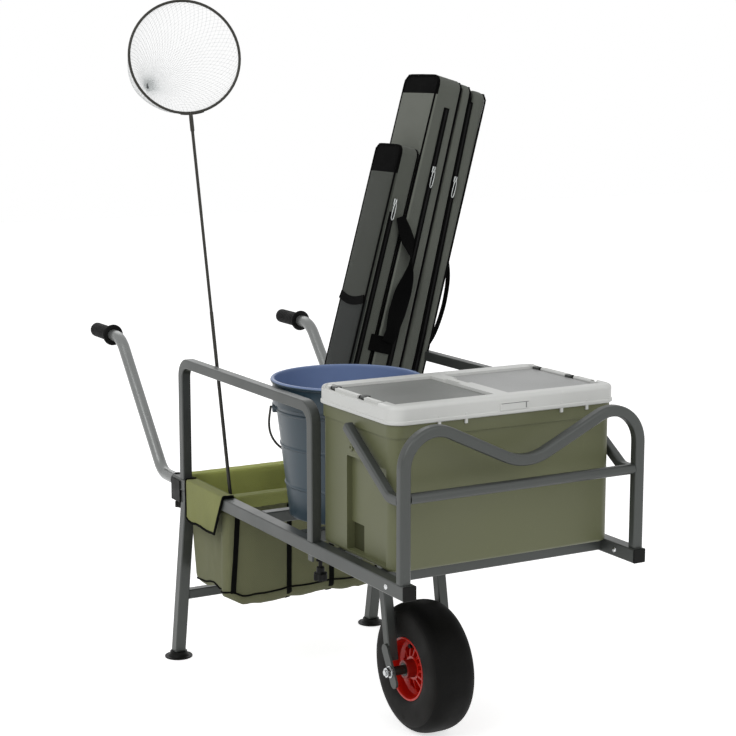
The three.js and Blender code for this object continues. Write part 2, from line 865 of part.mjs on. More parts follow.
// Knobs under the rails: a lobed head, a neck and a stud that presses on the tube inside the rail
function knob() {
  const neckTop = -knobDrop;
  const neckFoot = neckTop - knobNeckHeight;
  const middle = (knobDiameter - knobLobeDepth) / 2;
  const lobed = polarOutline(3 * knobLobes, (angle) => middle + (knobLobeDepth / 2) * Math.cos(knobLobes * angle));
  const head = prism(lobed, knobHeight, 1, knobEdge).translate(0, 0, neckFoot - knobHeight);
  const post = turned([
    [0, neckFoot - knobEdge], [middle - knobEdge, neckFoot - knobEdge], [knobNeckDiameter / 2, neckFoot + knobEdge],
    [knobNeckDiameter / 2, neckTop], [studDiameter / 2, neckTop + knobEdge],
    [studDiameter / 2, tubeWall], [0, tubeWall],
  ], 10);
  return join(head, post);
}

const railFoot = deckHeight - railSize;
const insertDiameter = railSize - 2 * tubeWall - 2 * slideGap;
for (const [side, sign] of sides) {
  addPiece(`joint_knob_${side}`, knob(), blackPlastic, sign * railCentre, jointKnobY, railFoot);
  addPiece(`handle_knob_${side}`, knob(), blackPlastic, sign * railCentre, handleKnobY, railFoot);
}

// Handles: a bent tube with a narrower end that slides in the rail
function handleTube() {
  const bore = handleDiameter - 2 * handleWall;
  const start = railEnd + handleRailGap;
  const path = new BentPath([
    point(0, start, 0),
    point(0, handleKneeY, 0),
    point(0, handleElbowY, handleHeight - railAxisZ),
    point(0, handleEndY, handleHeight - railAxisZ),
  ], [handleKneeBend, handleElbowBend], 3);
  const tube = sweep(roundSection(handleDiameter, bore), path, 6);
  const insertBore = insertDiameter - 2 * tubeWall;
  const insertPath = new BentPath([point(0, handleInsertStart, 0), point(0, start + handleInsertOverlap, 0)]);
  const insert = sweep(roundSection(insertDiameter, insertBore), insertPath, 6);
  return join(tube, insert);
}

function grip() {
  const bore = boreDiameter(handleDiameter, gripSteps) / 2;
  const outer = bore + gripWall;
  const tubeEnd = handleEndY - gripStartY + seatGap;
  const end = tubeEnd + gripEndWall;
  const flange = gripFlangeDiameter / 2;
  const profile = [
    [0, tubeEnd], [bore, tubeEnd], [bore, 0], [flange - gripEdge, 0], [flange, gripFlangeThickness / 2],
    [flange - gripEdge, gripFlangeThickness], [outer, gripFlangeThickness],
  ];
  const ribSpan = (end - gripFlangeThickness - gripEndWall) / gripRibs;
  for (let i = 0; i < gripRibs; i += 1) {
    const middle = gripFlangeThickness + ribSpan * (i + 0.5);
    profile.push([outer - gripRibDepth, middle], [outer, middle + ribSpan / 2]);
  }
  profile.push([outer - gripEdge, end - gripEdge], [bore, end], [0, end]);
  return turned(profile, gripSteps).rotateX(-Math.PI / 2);
}

for (const [side, sign] of sides) {
  addPiece(`handle_tube_${side}`, handleTube(), handleMetal, sign * railCentre, 0, railAxisZ);
  addPiece(`handle_grip_${side}`, grip(), blackRubber, sign * railCentre, gripStartY, handleHeight);
}

// Cooler tub
const coolerFoot = deckHeight + seatGap;
const coolerDepth = coolerRearY - coolerFrontY;
const coolerY = (coolerFrontY + coolerRearY) / 2;
const coolerTop = coolerFoot + coolerHeight;

function coolerTub() {
  const shell = prism(roundedOutline(coolerLength, coolerDepth, coolerCorner), coolerHeight, 3);
  const collar = prism(
    roundedOutline(
      coolerLength + 2 * coolerCollarProud,
      coolerDepth + 2 * coolerCollarProud,
      coolerCorner + coolerCollarProud,
    ),
    coolerCollarHeight,
    3,
  ).translate(0, 0, coolerHeight - coolerCollarHeight);
  const hollow = prism(
    roundedOutline(coolerLength - 2 * coolerWall, coolerDepth - 2 * coolerWall, coolerCorner - coolerWall),
    coolerHeight,
    3,
  ).translate(0, 0, coolerWall);
  const y0 = recessFrontY - coolerY;
  const y1 = recessRearY - coolerY;
  const end = coolerLength / 2;
  const additions = [];
  const recesses = [];
  for (const sign of [-1, 1]) {
    const span = (near, far) => [Math.min(sign * near, sign * far), Math.max(sign * near, sign * far)];
    const pad = span(end - coolerWall - recessDepth, end - coolerWall / 2);
    additions.push(block(...pad, y0 - coolerWall, y1 + coolerWall, coolerWall / 2, recessTop + coolerWall));
    recesses.push(block(...span(end - recessDepth, end + overrun), y0, y1, recessFoot, recessTop));
  }
  const drain = block(
    drainSet - end, drainSet - end + recessDepth,
    y1 - drainWidth - coolerWall, y1 - coolerWall,
    recessFoot / 2, recessFoot + drainHeight,
  );
  const body = join(cut(join(shell, collar), hollow), ...additions);
  return join(cut(body, ...recesses), drain);
}

addPiece('cooler_tub', coolerTub(), greenPlastic, 0, coolerY, coolerFoot);

// Cooler lid: a frame with two hatch openings and a bar between them
const lidFoot = coolerTop + seatGap;
const lidTop = lidFoot + lidHeight;
const lidLength = coolerLength + 2 * lidOverhang;
const lidDepth = coolerDepth + 2 * lidOverhang;
const hatchTop = lidHeight - hatchDrop;
const hatchFoot = hatchTop - hatchThickness;
const hingeX = hatchReach + hingePocket / 2;
const hingeZ = lidHeight - hingeDiameter / 2;
const hingeStart = hingeFrontY - coolerY;
const hingeFinish = hingeRearY - coolerY;
const fingerPlaces = hatchFingerYs.map((y) => y - coolerY);

function mirrored(sign, x0, x1) {
  return sign > 0 ? [x0, x1] : [-x1, -x0];
}

function lidFrame() {
  const outline = roundedOutline(lidLength, lidDepth, lidCorner);
  const slab = prism(outline, lidHeight, 4, lidEdge);
  const hollow = prism(
    roundedOutline(lidLength - 4 * coolerWall, lidDepth - 4 * coolerWall, lidCorner - 2 * coolerWall),
    hatchFoot - hatchLedge + overrun,
    3,
  ).translate(0, 0, -overrun);
  const cutters = [hollow];
  const barrels = [];
  const y0 = hatchFrontY - coolerY;
  const y1 = hatchRearY - coolerY;
  for (const sign of [-1, 1]) {
    const pocket = mirrored(sign, lidBar, hatchReach);
    const through = mirrored(sign, lidBar + hatchLedge, hatchReach - hatchLedge);
    cutters.push(block(...pocket, y0, y1, hatchFoot - seatGap, lidHeight + overrun));
    cutters.push(block(...through, y0 + hatchLedge, y1 - hatchLedge, 0, lidHeight));
    const slot = mirrored(sign, hatchReach - overrun, hatchReach + hingePocket);
    cutters.push(block(
      ...slot,
      hingeStart, hingeFinish,
      hingeZ - hingeDiameter / 2 - hingeClearance, lidHeight + overrun,
    ));
    const notch = mirrored(sign, lidBar - notchDepth, lidBar + overrun);
    cutters.push(block(
      ...notch,
      notchY - notchWidth / 2 - coolerY, notchY + notchWidth / 2 - coolerY,
      hatchFoot - seatGap, lidHeight + overrun,
    ));
  }
  for (const sign of [-1, 1]) {
    const start = hingeStart - hingeClearance;
    const finish = hingeFinish + hingeClearance;
    const barrel = rod(hingeDiameter, finish - start, 8).translate(sign * hingeX, (start + finish) / 2, hingeZ);
    const gaps = fingerPlaces.map((y) => block(
      ...mirrored(sign, hingeX - hingeDiameter, hingeX + hingeDiameter),
      y - hingeFingerWidth / 2 - hatchGap, y + hingeFingerWidth / 2 + hatchGap,
      hingeZ - hingeDiameter, hingeZ + hingeDiameter,
    ));
    const web = block(
      ...mirrored(sign, hingeX, hingeX + hingePocket),
      start, finish, hingeZ - hingeDiameter / 2, hingeZ + hingeDiameter / 4,
    );
    const pin = rod(hingePinDiameter, finish - start, 8).translate(sign * hingeX, (start + finish) / 2, hingeZ);
    barrels.push(join(cut(join(barrel, web), ...gaps), pin));
  }
  const tabs = lidTabPlaces.map((x) => block(
    x - lidTabWidth / 2, x + lidTabWidth / 2,
    -lidDepth / 2, -lidDepth / 2 + lidOverhang - coolerCollarProud - seatGap,
    -lidTabDrop, lidHeight / 3,
  ));
  return join(cut(slab, ...cutters), ...barrels, ...tabs);
}

addPiece('cooler_lid', lidFrame(), whitePlastic, 0, coolerY, lidFoot);

// Hatches: each a plate with two fingers that turn on the lid's hinge pin
function hatch(sign) {
  const plateX = mirrored(sign, lidBar + hatchGap, hatchReach - hatchEndGap);
  const y0 = hatchFrontY + hatchGap - coolerY;
  const y1 = hatchRearY - hatchGap - coolerY;
  const plate = block(...plateX, y0, y1, hatchFoot, hatchTop);
  const fingers = fingerPlaces.map((y) => {
    const arm = block(
      ...mirrored(sign, hatchReach - 2 * hatchEndGap, hingeX),
      y - hingeFingerWidth / 2, y + hingeFingerWidth / 2,
      hingeZ - hingeDiameter / 2, hingeZ + hingeDiameter / 2,
    );
    const eye = rod(hingeDiameter, hingeFingerWidth, 8).translate(sign * hingeX, y, hingeZ);
    return join(arm, eye);
  });
  const bores = fingerPlaces.map((y) => (
    rod(hingePinDiameter + 2 * hatchGap, 2 * hingeFingerWidth, 8).translate(sign * hingeX, y, hingeZ)
  ));
  return cut(join(plate, ...fingers), ...bores);
}

for (const [side, sign] of sides) {
  addPiece(`hatch_${side}`, hatch(sign), greyPlastic, 0, coolerY, lidFoot);
}

// Latch at the middle of the lid's front, hinged at its top edge
function latch() {
  const plate = prism(roundedOutline(latchWidth, latchHeight, tubeCorner), latchThickness, 2, 1);
  return plate.rotateX(Math.PI / 2).translate(0, 0, -latchHeight / 2);
}

const lidFrontY = coolerY - lidDepth / 2;
addPiece('cooler_latch', latch(), whitePlastic, latchX, lidFrontY - seatGap, lidTop - latchDrop);

// Bucket
const bucketFoot = deckHeight + seatGap;

function bucketRadius(height) {
  const foot = bucketFootDiameter / 2;
  const top = bucketTopDiameter / 2;
  return foot + ((top - foot) * height) / (bucketHeight - bucketCollarHeight);
}

function bucket() {
  const mouth = bucketMouthDiameter / 2;
  const collar = bucketCollarDiameter / 2;
  const shoulder = bucketHeight - bucketCollarHeight;
  const profile = [
    [0, 0], [bucketFootDiameter / 2 - bucketWall, 0], [bucketRadius(bucketWall), bucketWall],
    [bucketRadius(bucketStep), bucketStep],
    [bucketRadius(bucketStep) + bucketStepDepth, bucketStep + bucketStepDepth],
    [bucketRadius(shoulder), shoulder],
    [collar, shoulder + bucketWall], [collar, bucketHeight - bucketLip],
    [mouth, bucketHeight - bucketLip], [mouth, bucketHeight - bucketWall], [mouth - bucketWall, bucketHeight],
    [collar - bucketWall, bucketHeight], [collar - 2 * bucketWall, bucketHeight - bucketLip],
    [collar - bucketWall, shoulder + 2 * bucketWall], [bucketRadius(shoulder) - bucketWall, shoulder - bucketWall],
    [bucketRadius(bucketWall) - bucketWall, 2 * bucketWall], [0, 2 * bucketWall],
  ];
  const body = turned(profile, 24);
  const ears = [0, Math.PI].map((turn) => {
    const inner = bucketRadius(earHeight) - bucketWall / 2;
    const boss = rod(earDiameter, earThickness, 10).rotateZ(Math.PI / 2);
    const bore = rod(bailDiameter + 2 * hatchGap, 2 * earThickness, 8).rotateZ(Math.PI / 2);
    const ear = cut(boss, bore.translate(earThickness, 0, 0));
    return ear.translate(inner + earThickness / 2, 0, earHeight).rotateZ(earAngle + turn);
  });
  return join(body, ...ears);
}

addPiece('bucket', bucket(), bluePlastic, bucketX, bucketY, bucketFoot);

// Bail: a wire loop from ear to ear, in its own plane
class BailCurve extends THREE.Curve {
  getPoint(share, target = new THREE.Vector3()) {
    const reach = bucketRadius(earHeight) + earThickness - bucketWall / 2 + bailDiameter / 2 + hatchGap;
    const angle = Math.PI * share;
    const run = Math.cos(angle);
    const across = Math.sign(run) * Math.abs(run) ** bailSquareness * reach + bailBulge * Math.sin(2 * angle);
    return target.set(across, 0, -bailDepth * Math.sin(angle) ** bailSquareness);
  }
}

function bail() {
  const wire = new THREE.ExtrudeGeometry(roundSection(bailDiameter), {
    extrudePath: new BailCurve(),
    steps: 18,
    curveSegments: 3,
  });
  const reach = bucketRadius(earHeight) + earThickness / 2;
  const pins = [-1, 1].map((sign) => {
    const length = earThickness;
    return rod(bailDiameter, length, 8).rotateZ(Math.PI / 2).translate(sign * (reach + length / 2), 0, 0);
  });
  return join(wire, ...pins).rotateX(Math.PI / 2 - bailTilt);
}

const bailHolder = new THREE.Group();
bailHolder.position.set(bucketX, bucketY, bucketFoot + earHeight);
bailHolder.rotation.z = earAngle + Math.PI;
trolley.add(bailHolder);
addPiece('bail', bail(), netMetal, 0, 0, 0, bailHolder);

// Rod cases: they stand in the bag and lean against the left hoop
const bagInnerFoot = bagFoot + bagCloth;
const caseHolder = new THREE.Group();
caseHolder.rotation.y = caseLean;
trolley.add(caseHolder);

function rodCase(thickness, depth, length) {
  return prism(roundedOutline(thickness, depth, caseCorner), length, 2, caseEdge);
}

// The tall case's left face touches the inner top corner of the left hoop.
const tallFaceT = (barInner - seatGap) * Math.cos(caseLean) - hoopTop * Math.sin(caseLean);
const shortFaceT = tallFaceT - tallCaseThickness - seatGap;

// How far up the lean a case starts, for its lower rounded edge to stand on the bag.
function caseFoot(faceT) {
  return (bagInnerFoot + seatGap + (faceT - caseEdge) * Math.sin(caseLean)) / Math.cos(caseLean);
}

addPiece(
  'tall_case', rodCase(tallCaseThickness, tallCaseDepth, tallCaseLength), caseCloth,
  tallFaceT - tallCaseThickness / 2, caseFrontY + tallCaseDepth / 2, caseFoot(tallFaceT), caseHolder,
);
addPiece(
  'short_case', rodCase(shortCaseThickness, shortCaseDepth, shortCaseLength), caseCloth,
  shortFaceT - shortCaseThickness / 2, caseFrontY + shortCaseDepth / 2, caseFoot(shortFaceT), caseHolder,
);

// Landing net: a straight pole that leans on the right hoop, a round hoop and a bag of mesh
const poleFoot = bagInnerFoot + seatGap + (poleDiameter / 2) * poleLeanShare;
const poleHoopX = -barInner + poleHoopGap + poleDiameter / 2;
const poleMeetZ = hoopTop - barSize / 2;
const poleLeanX = (poleHoopX - poleFootX) / (poleMeetZ - poleFoot);

function poleAxis(height) {
  const rise = height - poleFoot;
  return point(poleFootX + rise * poleLeanX, poleFootY + rise * poleLeanShare, height);
}

const ringCentre = poleAxis(netRingHeight);
const ringRadius = netRingDiameter / 2;

const net = new THREE.Group();
net.position.copy(ringCentre);
net.rotation.set(-Math.atan(poleLeanShare), Math.atan(poleLeanX), -netTurn, 'YXZ');
trolley.add(net);

function netHoop() {
  const ring = new THREE.TorusGeometry(ringRadius, netRingTube / 2, 5, 28).rotateX(Math.PI / 2);
  const neck = ringRadius + ferruleDiameter;
  const ferrule = turned([
    [0, -ringRadius], [netRingTube / 2, -ringRadius], [ferruleDiameter / 2, -neck],
    [ferruleDiameter / 2, -ringRadius - ferruleLength], [0, -ringRadius - ferruleLength],
  ], 10);
  const socket = rod(boreDiameter(poleDiameter, 10), ferruleLength, 10).rotateX(Math.PI / 2);
  return cut(join(ring, ferrule), socket.translate(0, 0, -neck - ferruleLength / 2));
}

function netPole() {
  const top = -ringRadius - ferruleDiameter - seatGap;
  const length = ringCentre.distanceTo(poleAxis(poleFoot)) + top;
  return rod(poleDiameter, length, 10).rotateX(Math.PI / 2).translate(0, 0, top - length / 2);
}

// A bowl of mesh behind the ring that hangs lower than its middle.
function netBag() {
  const mouth = ringRadius;
  const steps = 6;
  const bowl = (depth, radius, i) => {
    const angle = (Math.PI / 2) * (i / steps);
    return [radius * Math.cos(angle), depth * Math.sin(angle)];
  };
  const outer = Array.from({ length: steps + 1 }, (_, i) => bowl(netDepth, mouth, i));
  const inner = Array.from({ length: steps + 1 }, (_, i) => bowl(netDepth - netThickness, mouth - netThickness, i));
  outer[steps][0] = 0;
  inner[steps][0] = 0;
  const bag = turned(loop([...outer, ...inner.reverse()]), 16).rotateX(-Math.PI / 2);
  const sag = new THREE.Matrix4();
  sag.elements[6] = -netSag / netDepth;
  return bag.applyMatrix4(sag).translate(0, netRingTube / 2 + seatGap, 0);
}

addPiece('net_hoop', netHoop(), netMetal, 0, 0, 0, net);
addPiece('net_pole', netPole(), netMetal, 0, 0, 0, net);
addPiece('net_bag', netBag(), netMesh, 0, 0, 0, net);

// Bag: a cloth box between the rails, hemmed over two cross tubes, with a flap over each rail
const bagHalf = railInner - bagClearance;
const bagFrontY = bagTubeY + crossSize / 2 + seatGap;
const bagRearY = rearTubeY - crossSize / 2 - seatGap;
const flapFoot = deckHeight + seatGap;

function bagProfile(inset, top) {
  const front = bagFrontY + inset;
  const rear = bagRearY - inset;
  const rearFoot = bagRearFootY - inset;
  const bottom = bagFoot + inset;
  const bend = bagBottomBend - inset;
  const profile = new THREE.Shape();
  profile.moveTo(front, top);
  profile.lineTo(front, bottom + bend);
  profile.absarc(front + bend, bottom + bend, bend, Math.PI, 1.5 * Math.PI);
  profile.lineTo(rearFoot - bend, bottom);
  profile.absarc(rearFoot - bend, bottom + bend, bend, -Math.PI / 2, 0);
  profile.lineTo(rear, top);
  profile.closePath();
  return profile;
}

function acrossPrism(profile, halfWidth) {
  const solid = prism(profile, 2 * halfWidth, 3);
  return solid.rotateX(Math.PI / 2).rotateZ(Math.PI / 2).translate(-halfWidth, 0, 0);
}

function bag() {
  const top = flapFoot + bagCloth;
  const body = acrossPrism(bagProfile(0, top), bagHalf);
  const hollow = acrossPrism(bagProfile(bagCloth, top + overrun), bagHalf - bagCloth);
  const frontHemY = bagTubeY - crossSize / 2 - seatGap - bagCloth;
  const rearHemY = rearTubeY + crossSize / 2 + seatGap + bagCloth;
  const span = bagHalf;
  const hemFoot = deckHeight - bagHem;
  const pieces = [
    block(-span, span, frontHemY, bagFrontY + bagCloth, flapFoot, top),
    block(-span, span, frontHemY, frontHemY + bagCloth, hemFoot, top),
    block(-span, span, bagRearY - bagCloth, rearHemY, flapFoot, top),
    block(-span, span, rearHemY - bagCloth, rearHemY, hemFoot, top),
  ];
  const outer = frameWidth / 2 + seatGap;
  for (const sign of [-1, 1]) {
    const over = mirrored(sign, bagHalf - bagCloth, outer + bagCloth);
    const down = mirrored(sign, outer, outer + bagCloth);
    const front = Math.max(flapFrontY, bagFrontY);
    pieces.push(block(...over, flapFrontY, flapRearY, flapFoot, top));
    pieces.push(block(...down, flapFrontY, flapRearY, deckHeight - flapDrop, top));
    pieces.push(block(...mirrored(sign, bagHalf - bagCloth, bagHalf), front, flapRearY, bagFoot + bagBottomBend, top));
  }
  return join(cut(body, hollow), ...pieces);
}

addPiece('bag', bag(), bagFabric);

// The origin is at the middle of the foot of the whole trolley
trolley.updateMatrixWorld(true);
const extent = new THREE.Box3().setFromObject(trolley, true);
const middle = extent.getCenter(new THREE.Vector3());
trolley.position.set(-middle.x, -middle.y, -extent.min.z);

export default trolley;
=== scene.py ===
import math

import bmesh
import bpy
from bpy.props import FloatProperty, FloatVectorProperty, IntProperty, PointerProperty
from mathutils import Matrix, Vector
from mathutils import noise as perlin


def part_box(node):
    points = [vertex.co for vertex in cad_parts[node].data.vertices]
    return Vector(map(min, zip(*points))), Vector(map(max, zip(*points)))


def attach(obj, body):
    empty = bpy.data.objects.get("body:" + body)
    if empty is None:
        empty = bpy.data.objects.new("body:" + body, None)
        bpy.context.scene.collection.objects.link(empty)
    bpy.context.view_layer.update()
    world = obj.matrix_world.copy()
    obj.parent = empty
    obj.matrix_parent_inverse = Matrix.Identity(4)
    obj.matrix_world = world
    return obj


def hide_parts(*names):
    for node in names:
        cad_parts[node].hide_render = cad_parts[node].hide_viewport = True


bl_info = {
    "name": "Fishing Trolley",
    "version": (1, 0, 0),
    "blender": (4, 5, 0),
    "location": "3D View > Sidebar > Trolley",
    "description": "Dresses a fishing trolley and its load on the packed frame",
    "category": "Add Mesh",
}

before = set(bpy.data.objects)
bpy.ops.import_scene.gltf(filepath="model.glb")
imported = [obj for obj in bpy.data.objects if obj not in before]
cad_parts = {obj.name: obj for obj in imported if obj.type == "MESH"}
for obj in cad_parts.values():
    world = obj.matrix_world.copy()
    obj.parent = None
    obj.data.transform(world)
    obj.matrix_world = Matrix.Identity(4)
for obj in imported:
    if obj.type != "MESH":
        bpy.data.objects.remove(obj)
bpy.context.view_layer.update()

# The trolley's own axes are in millimetres: X across, Y from the front to the handles, Z up.
MIDDLE_X = (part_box("rear_rail_right")[0].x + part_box("rear_rail_left")[1].x) / 2
FRONT_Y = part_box("front_cap_right")[0].y
PLACE = Matrix.Translation((MIDDLE_X, FRONT_Y, 0)) @ Matrix.Scale(0.001, 4)

DECK = 444
DECK_SEAT = 444.3
RAIL_X = 261
RAIL_FACE = 275
BAR_X = 264
SIDES = (("right", -1), ("left", 1))
RAIL_Z = 430
BAR_SIZE = 22
SHARP = math.radians(35)
CLOTH_SHARP = math.radians(60)
SOFTENED_FROM = math.radians(28)


def tone(code):
    """The linear colour of a screen colour such as 6f705a."""
    channels = [int(code[i:i + 2], 16) / 255 for i in (0, 2, 4)]
    return tuple(c / 12.92 if c <= 0.04045 else ((c + 0.055) / 1.055) ** 2.4 for c in channels)


def colour_choice(name, description, code):
    return FloatVectorProperty(name=name, description=description, subtype="COLOR", default=tone(code), min=0,
                               max=1)


def length_choice(name, description, default, least):
    return FloatProperty(name=name, description=description, default=default, min=least, subtype="DISTANCE",
                         unit="LENGTH")


class TrolleyColours(bpy.types.PropertyGroup):
    """Colours of the trolley's finishes"""

    frame_paint: colour_choice("Frame paint", "Paint on the rails, hoops, guard and legs", "464947")
    handle_paint: colour_choice("Handles", "Finish of the two bent handles", "808281")
    tub: colour_choice("Cooler tub", "Plastic of the cooler's tub", "606345")
    lid: colour_choice("Cooler lid", "Plastic of the lid's frame", "d2d3d0")
    hatch_near: colour_choice("Right hatch", "Plastic of the right hatch", "737572")
    hatch_far: colour_choice("Left hatch", "Plastic of the left hatch", "9d9e9d")
    bucket: colour_choice("Bucket", "Outside of the bucket", "273a45")
    bucket_inside_painted_light: colour_choice("Bucket inside", "Inside and rim top of the bucket, painted lighter for light", "697da5")
    rim: colour_choice("Wheel rim", "Plastic of the spoked rim", "c21808")
    tyre: colour_choice("Tyre", "Rubber of the tyre", "0f0e0c")
    case_cloth: colour_choice("Rod cases", "Cloth of the rod cases", "5f625b")
    case_trim: colour_choice("Case trim", "Caps, zips and straps of the rod cases", "080808")
    bag_cloth: colour_choice("Bag", "Outside of the cloth bag", "77795a")
    flap_cloth: colour_choice("Bag flaps", "Flaps and hems of the cloth bag", "999d60")
    floor: colour_choice("Floor", "Floor and background", "f7f7f7")


class TrolleySizes(bpy.types.PropertyGroup):
    """Small sizes of the trolley's looks"""

    weave: length_choice("Case weave", "Width of a thread of the rod cases", 0.0016, 0.0005)
    bag_weave: length_choice("Bag weave", "Width of a thread of the bag", 0.0026, 0.0005)
    strand: length_choice("Net strand", "Thickness of a strand of the landing net", 0.0009, 0.0003)
    net_cells: IntProperty(name="Net cells", description="Meshes of the landing net round its mouth",
                           default=72, min=12, max=96)
    tread_groove: length_choice("Tread groove", "Depth of the tyre's grooves", 0.0009, 0)


def colours():
    return bpy.context.scene.trolley_colours


def sizes():
    return bpy.context.scene.trolley_sizes


def mm(length):
    return length * 1000


# Finishes


def feed(tree, socket, value):
    """Wires a socket, or sets the number or colour, of an input."""
    if isinstance(value, bpy.types.NodeSocket):
        tree.links.new(value, socket)
    elif socket.type == "RGBA" and len(value) == 3:
        socket.default_value = (*value, 1)
    else:
        socket.default_value = value


def sums(tree, operation, *values):
    node = tree.nodes.new("ShaderNodeMath")
    node.operation = operation
    for socket, value in zip(node.inputs, values):
        feed(tree, socket, value)
    return node.outputs[0]


def noise(tree, vector, scale, detail=3.0, rough=0.5):
    node = tree.nodes.new("ShaderNodeTexNoise")
    feed(tree, node.inputs["Vector"], vector)
    feed(tree, node.inputs["Scale"], scale)
    node.inputs["Detail"].default_value = detail
    node.inputs["Roughness"].default_value = rough
    return node.outputs["Fac"]


def new_group(name, ins, outs):
    """A node group with its named sockets, and its tree, inputs and outputs."""
    tree = bpy.data.node_groups.new(name, "ShaderNodeTree")
    for label, kind, default in ins:
        socket = tree.interface.new_socket(label, in_out="INPUT", socket_type=kind)
        if default is not None:
            socket.default_value = default
    for label, kind in outs:
        tree.interface.new_socket(label, in_out="OUTPUT", socket_type=kind)
    return tree, tree.nodes.new("NodeGroupInput").outputs, tree.nodes.new("NodeGroupOutput").inputs


def hand_wear_group():
    """Patches of colour, fine grain and short scuffs, as on things that are carried and left outdoors."""
    tree, ins, outs = new_group(
        "hand wear",
        [("Vector", "NodeSocketVector", None), ("Colour", "NodeSocketColor", (0.5, 0.5, 0.5, 1)),
         ("Patches", "NodeSocketFloat", 0.1), ("Patch Scale", "NodeSocketFloat", 14.0),
         ("Grain Scale", "NodeSocketFloat", 900.0), ("Scuffs", "NodeSocketFloat", 0.1),
         ("Roughness", "NodeSocketFloat", 0.5)],
        [("Colour", "NodeSocketColor"), ("Roughness", "NodeSocketFloat"), ("Height", "NodeSocketFloat"),
         ("Scuffed", "NodeSocketFloat")],
    )
    patch = sums(tree, "SUBTRACT", noise(tree, ins["Vector"], ins["Patch Scale"], 4.0), 0.5)
    lift = sums(tree, "MULTIPLY_ADD", patch, sums(tree, "MULTIPLY", ins["Patches"], 2.6), 1.0)
    stretch = tree.nodes.new("ShaderNodeMapping")
    stretch.inputs["Scale"].default_value = (1.0, 0.18, 0.3)
    stretch.inputs["Rotation"].default_value = (0.3, 0.5, 0.9)
    feed(tree, stretch.inputs["Vector"], ins["Vector"])
    streak = noise(tree, stretch.outputs[0], 260.0, 2.0)
    where = noise(tree, ins["Vector"], 21.0, 2.0)
    scratched = sums(tree, "GREATER_THAN", streak, 0.66)
    scuffed = sums(tree, "MULTIPLY", scratched, sums(tree, "GREATER_THAN", where, 0.55))
    scuffed = sums(tree, "MULTIPLY", scuffed, ins["Scuffs"])
    tint = tree.nodes.new("ShaderNodeVectorMath")
    tint.operation = "SCALE"
    feed(tree, tint.inputs[0], ins["Colour"])
    feed(tree, tint.inputs["Scale"], sums(tree, "ADD", lift, scuffed))
    feed(tree, outs["Colour"], tint.outputs[0])
    rough = sums(tree, "MULTIPLY_ADD", patch, 0.35, ins["Roughness"])
    feed(tree, outs["Roughness"], sums(tree, "MULTIPLY_ADD", scuffed, 0.5, rough))
    feed(tree, outs["Height"], noise(tree, ins["Vector"], ins["Grain Scale"], 2.0))
    feed(tree, outs["Scuffed"], scuffed)
    return tree


def weave_group():
    """Plain weave laid on the side that a face looks to, with slubs in its threads, and painted shade where
    threads sink.
    """
    tree, ins, outs = new_group(
        "plain weave",
        [("Vector", "NodeSocketVector", None), ("Normal", "NodeSocketVector", None),
         ("Thread", "NodeSocketFloat", 0.002), ("Unevenness", "NodeSocketFloat", 0.3)],
        [("Height", "NodeSocketFloat"), ("Shade", "NodeSocketFloat")],
    )
    place = tree.nodes.new("ShaderNodeSeparateXYZ")
    feed(tree, place.inputs[0], ins["Vector"])
    facing = tree.nodes.new("ShaderNodeSeparateXYZ")
    feed(tree, facing.inputs[0], ins["Normal"])
    size = [sums(tree, "ABSOLUTE", facing.outputs[i]) for i in range(3)]
    along_x = sums(tree, "GREATER_THAN", size[0], sums(tree, "MAXIMUM", size[1], size[2]))
    along_z = sums(tree, "GREATER_THAN", size[2], sums(tree, "MAXIMUM", size[0], size[1]))
    x, y, z = place.outputs
    u = sums(tree, "MULTIPLY_ADD", along_x, sums(tree, "SUBTRACT", y, x), x)
    v = sums(tree, "MULTIPLY_ADD", along_z, sums(tree, "SUBTRACT", y, z), z)
    turn = sums(tree, "DIVIDE", math.pi, ins["Thread"])
    warp = sums(tree, "SINE", sums(tree, "MULTIPLY", u, turn))
    weft = sums(tree, "SINE", sums(tree, "MULTIPLY", v, turn))
    over = sums(tree, "GREATER_THAN", sums(tree, "MULTIPLY", warp, weft), 0.0)
    warp_height, weft_height = (sums(tree, "ABSOLUTE", wave) for wave in (warp, weft))
    step_up = sums(tree, "SUBTRACT", warp_height, weft_height)
    threads = sums(tree, "MULTIPLY_ADD", over, step_up, weft_height)
    slub = noise(tree, ins["Vector"], 380.0, 2.0)
    uneven = sums(tree, "MULTIPLY", sums(tree, "SUBTRACT", slub, 0.5), ins["Unevenness"])
    height = sums(tree, "ADD", threads, uneven)
    feed(tree, outs["Height"], height)
    # Shade lightens the raised threads and darkens the sunken ones as painted shade between threads; the slubs
    # add uneven tone
    feed(tree, outs["Shade"], sums(tree, "MULTIPLY_ADD", height, 0.35, 0.78))
    return tree


def shared_group(name, make):
    return bpy.data.node_groups.get(name) or make()


def plain_material(name):
    material = bpy.data.materials.new(name)
    material.use_nodes = True
    tree = material.node_tree
    shader = tree.nodes["Principled BSDF"]
    place = tree.nodes.new("ShaderNodeTexCoord").outputs["Object"]
    return material, tree, shader, place


def bumped(tree, shader, height, distance, strength=1.0):
    bump = tree.nodes.new("ShaderNodeBump")
    bump.inputs["Distance"].default_value = distance
    bump.inputs["Strength"].default_value = strength
    feed(tree, bump.inputs["Height"], height)
    feed(tree, shader.inputs["Normal"], bump.outputs[0])


